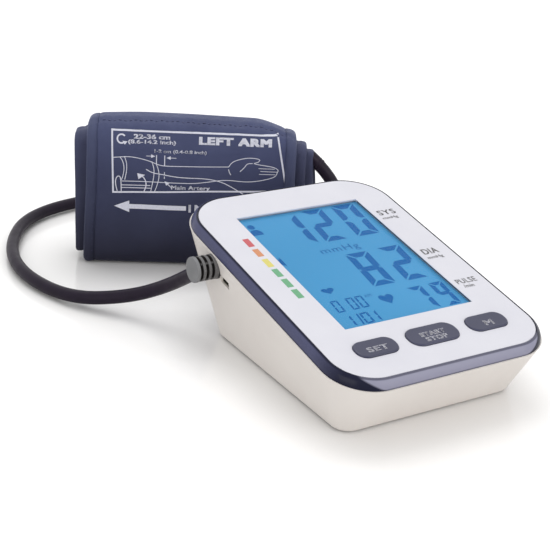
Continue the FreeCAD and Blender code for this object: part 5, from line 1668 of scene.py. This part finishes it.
@dataclass(frozen=True)
class CuffPrint:
    """White printing on the front of the cuff: a frame, plain words, a plain arm and an arrow."""

    lift: float = 0.2
    grid: float = 1.3
    step: float = 1.2

    def surface(self) -> Plane:
        """Surface finder that lays a flat point on the front of the outer wrap.

        Returns:
            A function from x and z, in the cuff's millimetres, to a place.
        """
        wrap = bpy.data.objects["outer_wrap"]
        tree = BVHTree.FromObject(wrap, bpy.context.evaluated_depsgraph_get())
        inward = CUFF.across()

        def lay(x: float, z: float) -> Vector:
            """Place on the wrap's front."""
            hit, normal = tree.ray_cast(CUFF.point(x, -20.0, z), inward, 60.0 * MM)[:2]
            if hit is None:
                return CUFF.point(x, 0.0, z)
            return hit + (normal - 0.5 * inward).normalized() * self.lift * MM

        return lay

    def build(self) -> None:
        """Prints everything on the cuff."""
        sheet = Print("cuff_printing", plane=self.surface())
        sheet.line([(13.9, 82.4), (108.6, 82.0), (115.2, 49.4), (14.6, 45.3)], 1.0, step=1.5, closed=True)
        for line in (
            Lettering("LEFT ARM", 64.0, 76.0, 40.8, 3.9, 1.1, 1.12),
            Lettering("22-36 cm", 26.4, 78.0, 20.4, 2.4, 0.4),
            Lettering("(8.6-14.2 inch)", 23.2, 74.6, 27.0, 2.7, 0.3),
            Lettering("INDEX", 58.8, 34.5, 28.0, 4.4, 0.7, 1.5),
            Lettering("1-2 cm (0.4-0.8 inch)", 38.2, 69.7, 29.8, 2.4, 0.2),
            Lettering("Main Artery", 48.2, 47.6, 22.2, 3.0, 0.3, 1.05),
        ):
            line.print_on(sheet, self.grid)
        self.arm(sheet)
        self.signs(sheet)
        self.arrow(sheet)
        sheet.make(Look.CUFF_INK, "cuff_set", "navy_fabric", smooth=False)

    def arm(self, sheet: Print) -> None:
        """Draws a plain outstretched arm with a cuff round it."""
        upper = (
            (14.7, 66.4), (18.4, 66.9), (24.0, 67.3), (30.0, 66.4), (36.0, 64.8),
            (40.0, 63.1), (43.6, 62.3), (56.0, 62.4), (70.0, 62.6), (81.0, 63.1),
        )
        lower = (
            (19.6, 52.3), (35.5, 52.6), (50.0, 52.2), (61.0, 52.1),
            (68.5, 53.1), (76.5, 54.6), (81.8, 54.9), (86.0, 54.6),
        )
        hand = (
            (81.0, 63.1), (83.0, 66.3), (88.3, 68.3), (93.6, 69.2), (99.2, 68.5), (98.0, 66.6),
            (94.7, 65.8), (100.3, 64.9), (106.9, 63.9), (110.0, 62.2), (109.2, 60.6),
            (108.9, 59.0), (107.2, 57.4), (100.3, 55.5), (92.3, 54.3), (85.6, 54.6),
        )
        thumb = ((94.7, 65.8), (91.6, 65.6), (89.9, 62.8), (87.6, 60.5))
        wrist = ((81.0, 61.6), (81.4, 60.0), (82.4, 58.2))
        bands = (
            ((18.4, 67.0), (20.2, 64.4), (21.0, 60.3), (20.3, 55.5), (19.2, 52.6)),
            ((21.0, 67.4), (22.4, 63.3), (22.4, 58.6), (21.3, 53.2)),
            ((36.7, 64.9), (38.1, 60.7), (38.1, 56.0), (37.1, 50.6), (36.4, 46.7)),
            ((39.2, 63.7), (40.6, 60.2), (41.2, 56.0), (40.1, 50.7), (38.6, 46.7)),
        )
        for points in (upper, lower, hand, thumb, wrist, *bands):
            sheet.line(eased(points), 0.42, self.step)
        fingers = ((98.3, 62.9), (107.6, 62.7)), ((99.4, 61.2), (109.2, 60.9)), ((98.7, 59.4), (108.2, 59.3))
        for finger in fingers:
            sheet.line(finger, 0.32, self.step)

    def signs(self, sheet: Print) -> None:
        """Draws the small helps round the arm: measure ticks, arrows, the artery and the strip's tail."""
        for x, high, low in ((39.4, 68.8, 63.6), (44.1, 68.7, 62.4)):
            sheet.line([(x, high), (x, low)], 0.5, self.step)
        for low in (57.2, 54.6):
            sheet.line([(44.1, low + 1.5), (44.1, low)], 0.4)
        for tail, tip, z in ((33.5, 38.6, 68.0), (50.7, 45.2, 67.3)):
            sheet.line([(tail, z), (tip, z)], 0.35)
            back = tip + (2.3 if tail > tip else -2.3)
            sheet.fill((tip, z), (back, z + 1.1), (back, z - 1.1))
        artery = (
            (33.5, 60.0), (37.0, 58.0), (43.0, 57.2), (50.0, 55.9), (57.0, 55.4),
            (65.0, 55.4), (72.0, 54.8), (78.0, 53.3), (83.5, 50.6), (91.5, 45.9),
        )
        sheet.line(eased(artery), 0.48, self.step)
        sheet.line([(48.2, 49.4), (45.6, 51.8)], 0.5)
        sheet.fill((44.2, 53.2), (47.2, 52.2), (45.2, 50.5))
        sheet.line(eased([(32.4, 46.4), (33.6, 49.3), (33.6, 52.3), (32.4, 54.8), (30.6, 56.2)]), 0.6, step=1.0)
        sheet.fill((28.4, 57.4), (33.0, 56.6), (29.2, 53.8))
        strip = eased([(19.3, 46.1), (19.1, 54.6), (17.3, 55.6), (15.9, 53.1), (16.1, 49.6), (17.0, 46.1)])
        sheet.line(strip, 0.5, self.step)
        for z, end in ((49.9, 36.0), (48.3, 36.6)):
            sheet.line([(19.5, z), (end, z + 0.3)], 0.45, step=1.4)
        angles = (math.radians(40.0 + 270.0 * k / 18) for k in range(19))
        sheet.line([(19.3 + 2.4 * math.cos(angle), 77.6 + 2.5 * math.sin(angle)) for angle in angles], 0.9)
        sheet.fill((19.8, 76.4), (22.8, 76.2), (21.2, 74.2))

    def arrow(self, sheet: Print) -> None:
        """Draws the arrow below the frame."""
        low, high, middle = 35.4, 38.2, 36.8
        tail, length, parts = 24.0, 33.0, 22
        steps = [tail + length * k / parts for k in range(parts + 1)]
        rows = [[sheet.plane(x, z) for x in steps] for z in (low, high)]
        count = len(steps)
        sheet.add(rows[0] + rows[1], [(i, i + 1, count + i + 1, count + i) for i in range(count - 1)])
        sheet.fill((15.2, middle), (tail, 33.2), (tail, 40.4))


# ------------------------------------------------------------------ assembly


# Without a seed of its own the cloth's ripple would follow the clock and change with every run.
RIPPLE_SEED = 1795494109


def main() -> None:
    """Builds the whole scene in order and keeps its sizes."""
    logging.basicConfig(level=logging.INFO, format="%(message)s")
    noise.seed_set(RIPPLE_SEED)
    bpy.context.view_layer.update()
    Studio().build()
    hose = AirHose()
    hose.build()
    HoseSleeve().build(hose)
    CadDress().build()
    Display().build()
    FacePrints().build()
    KeyPrints().build()
    RolledCuff().build()
    CuffPrint().build()


if __name__ == "__main__":
    main()
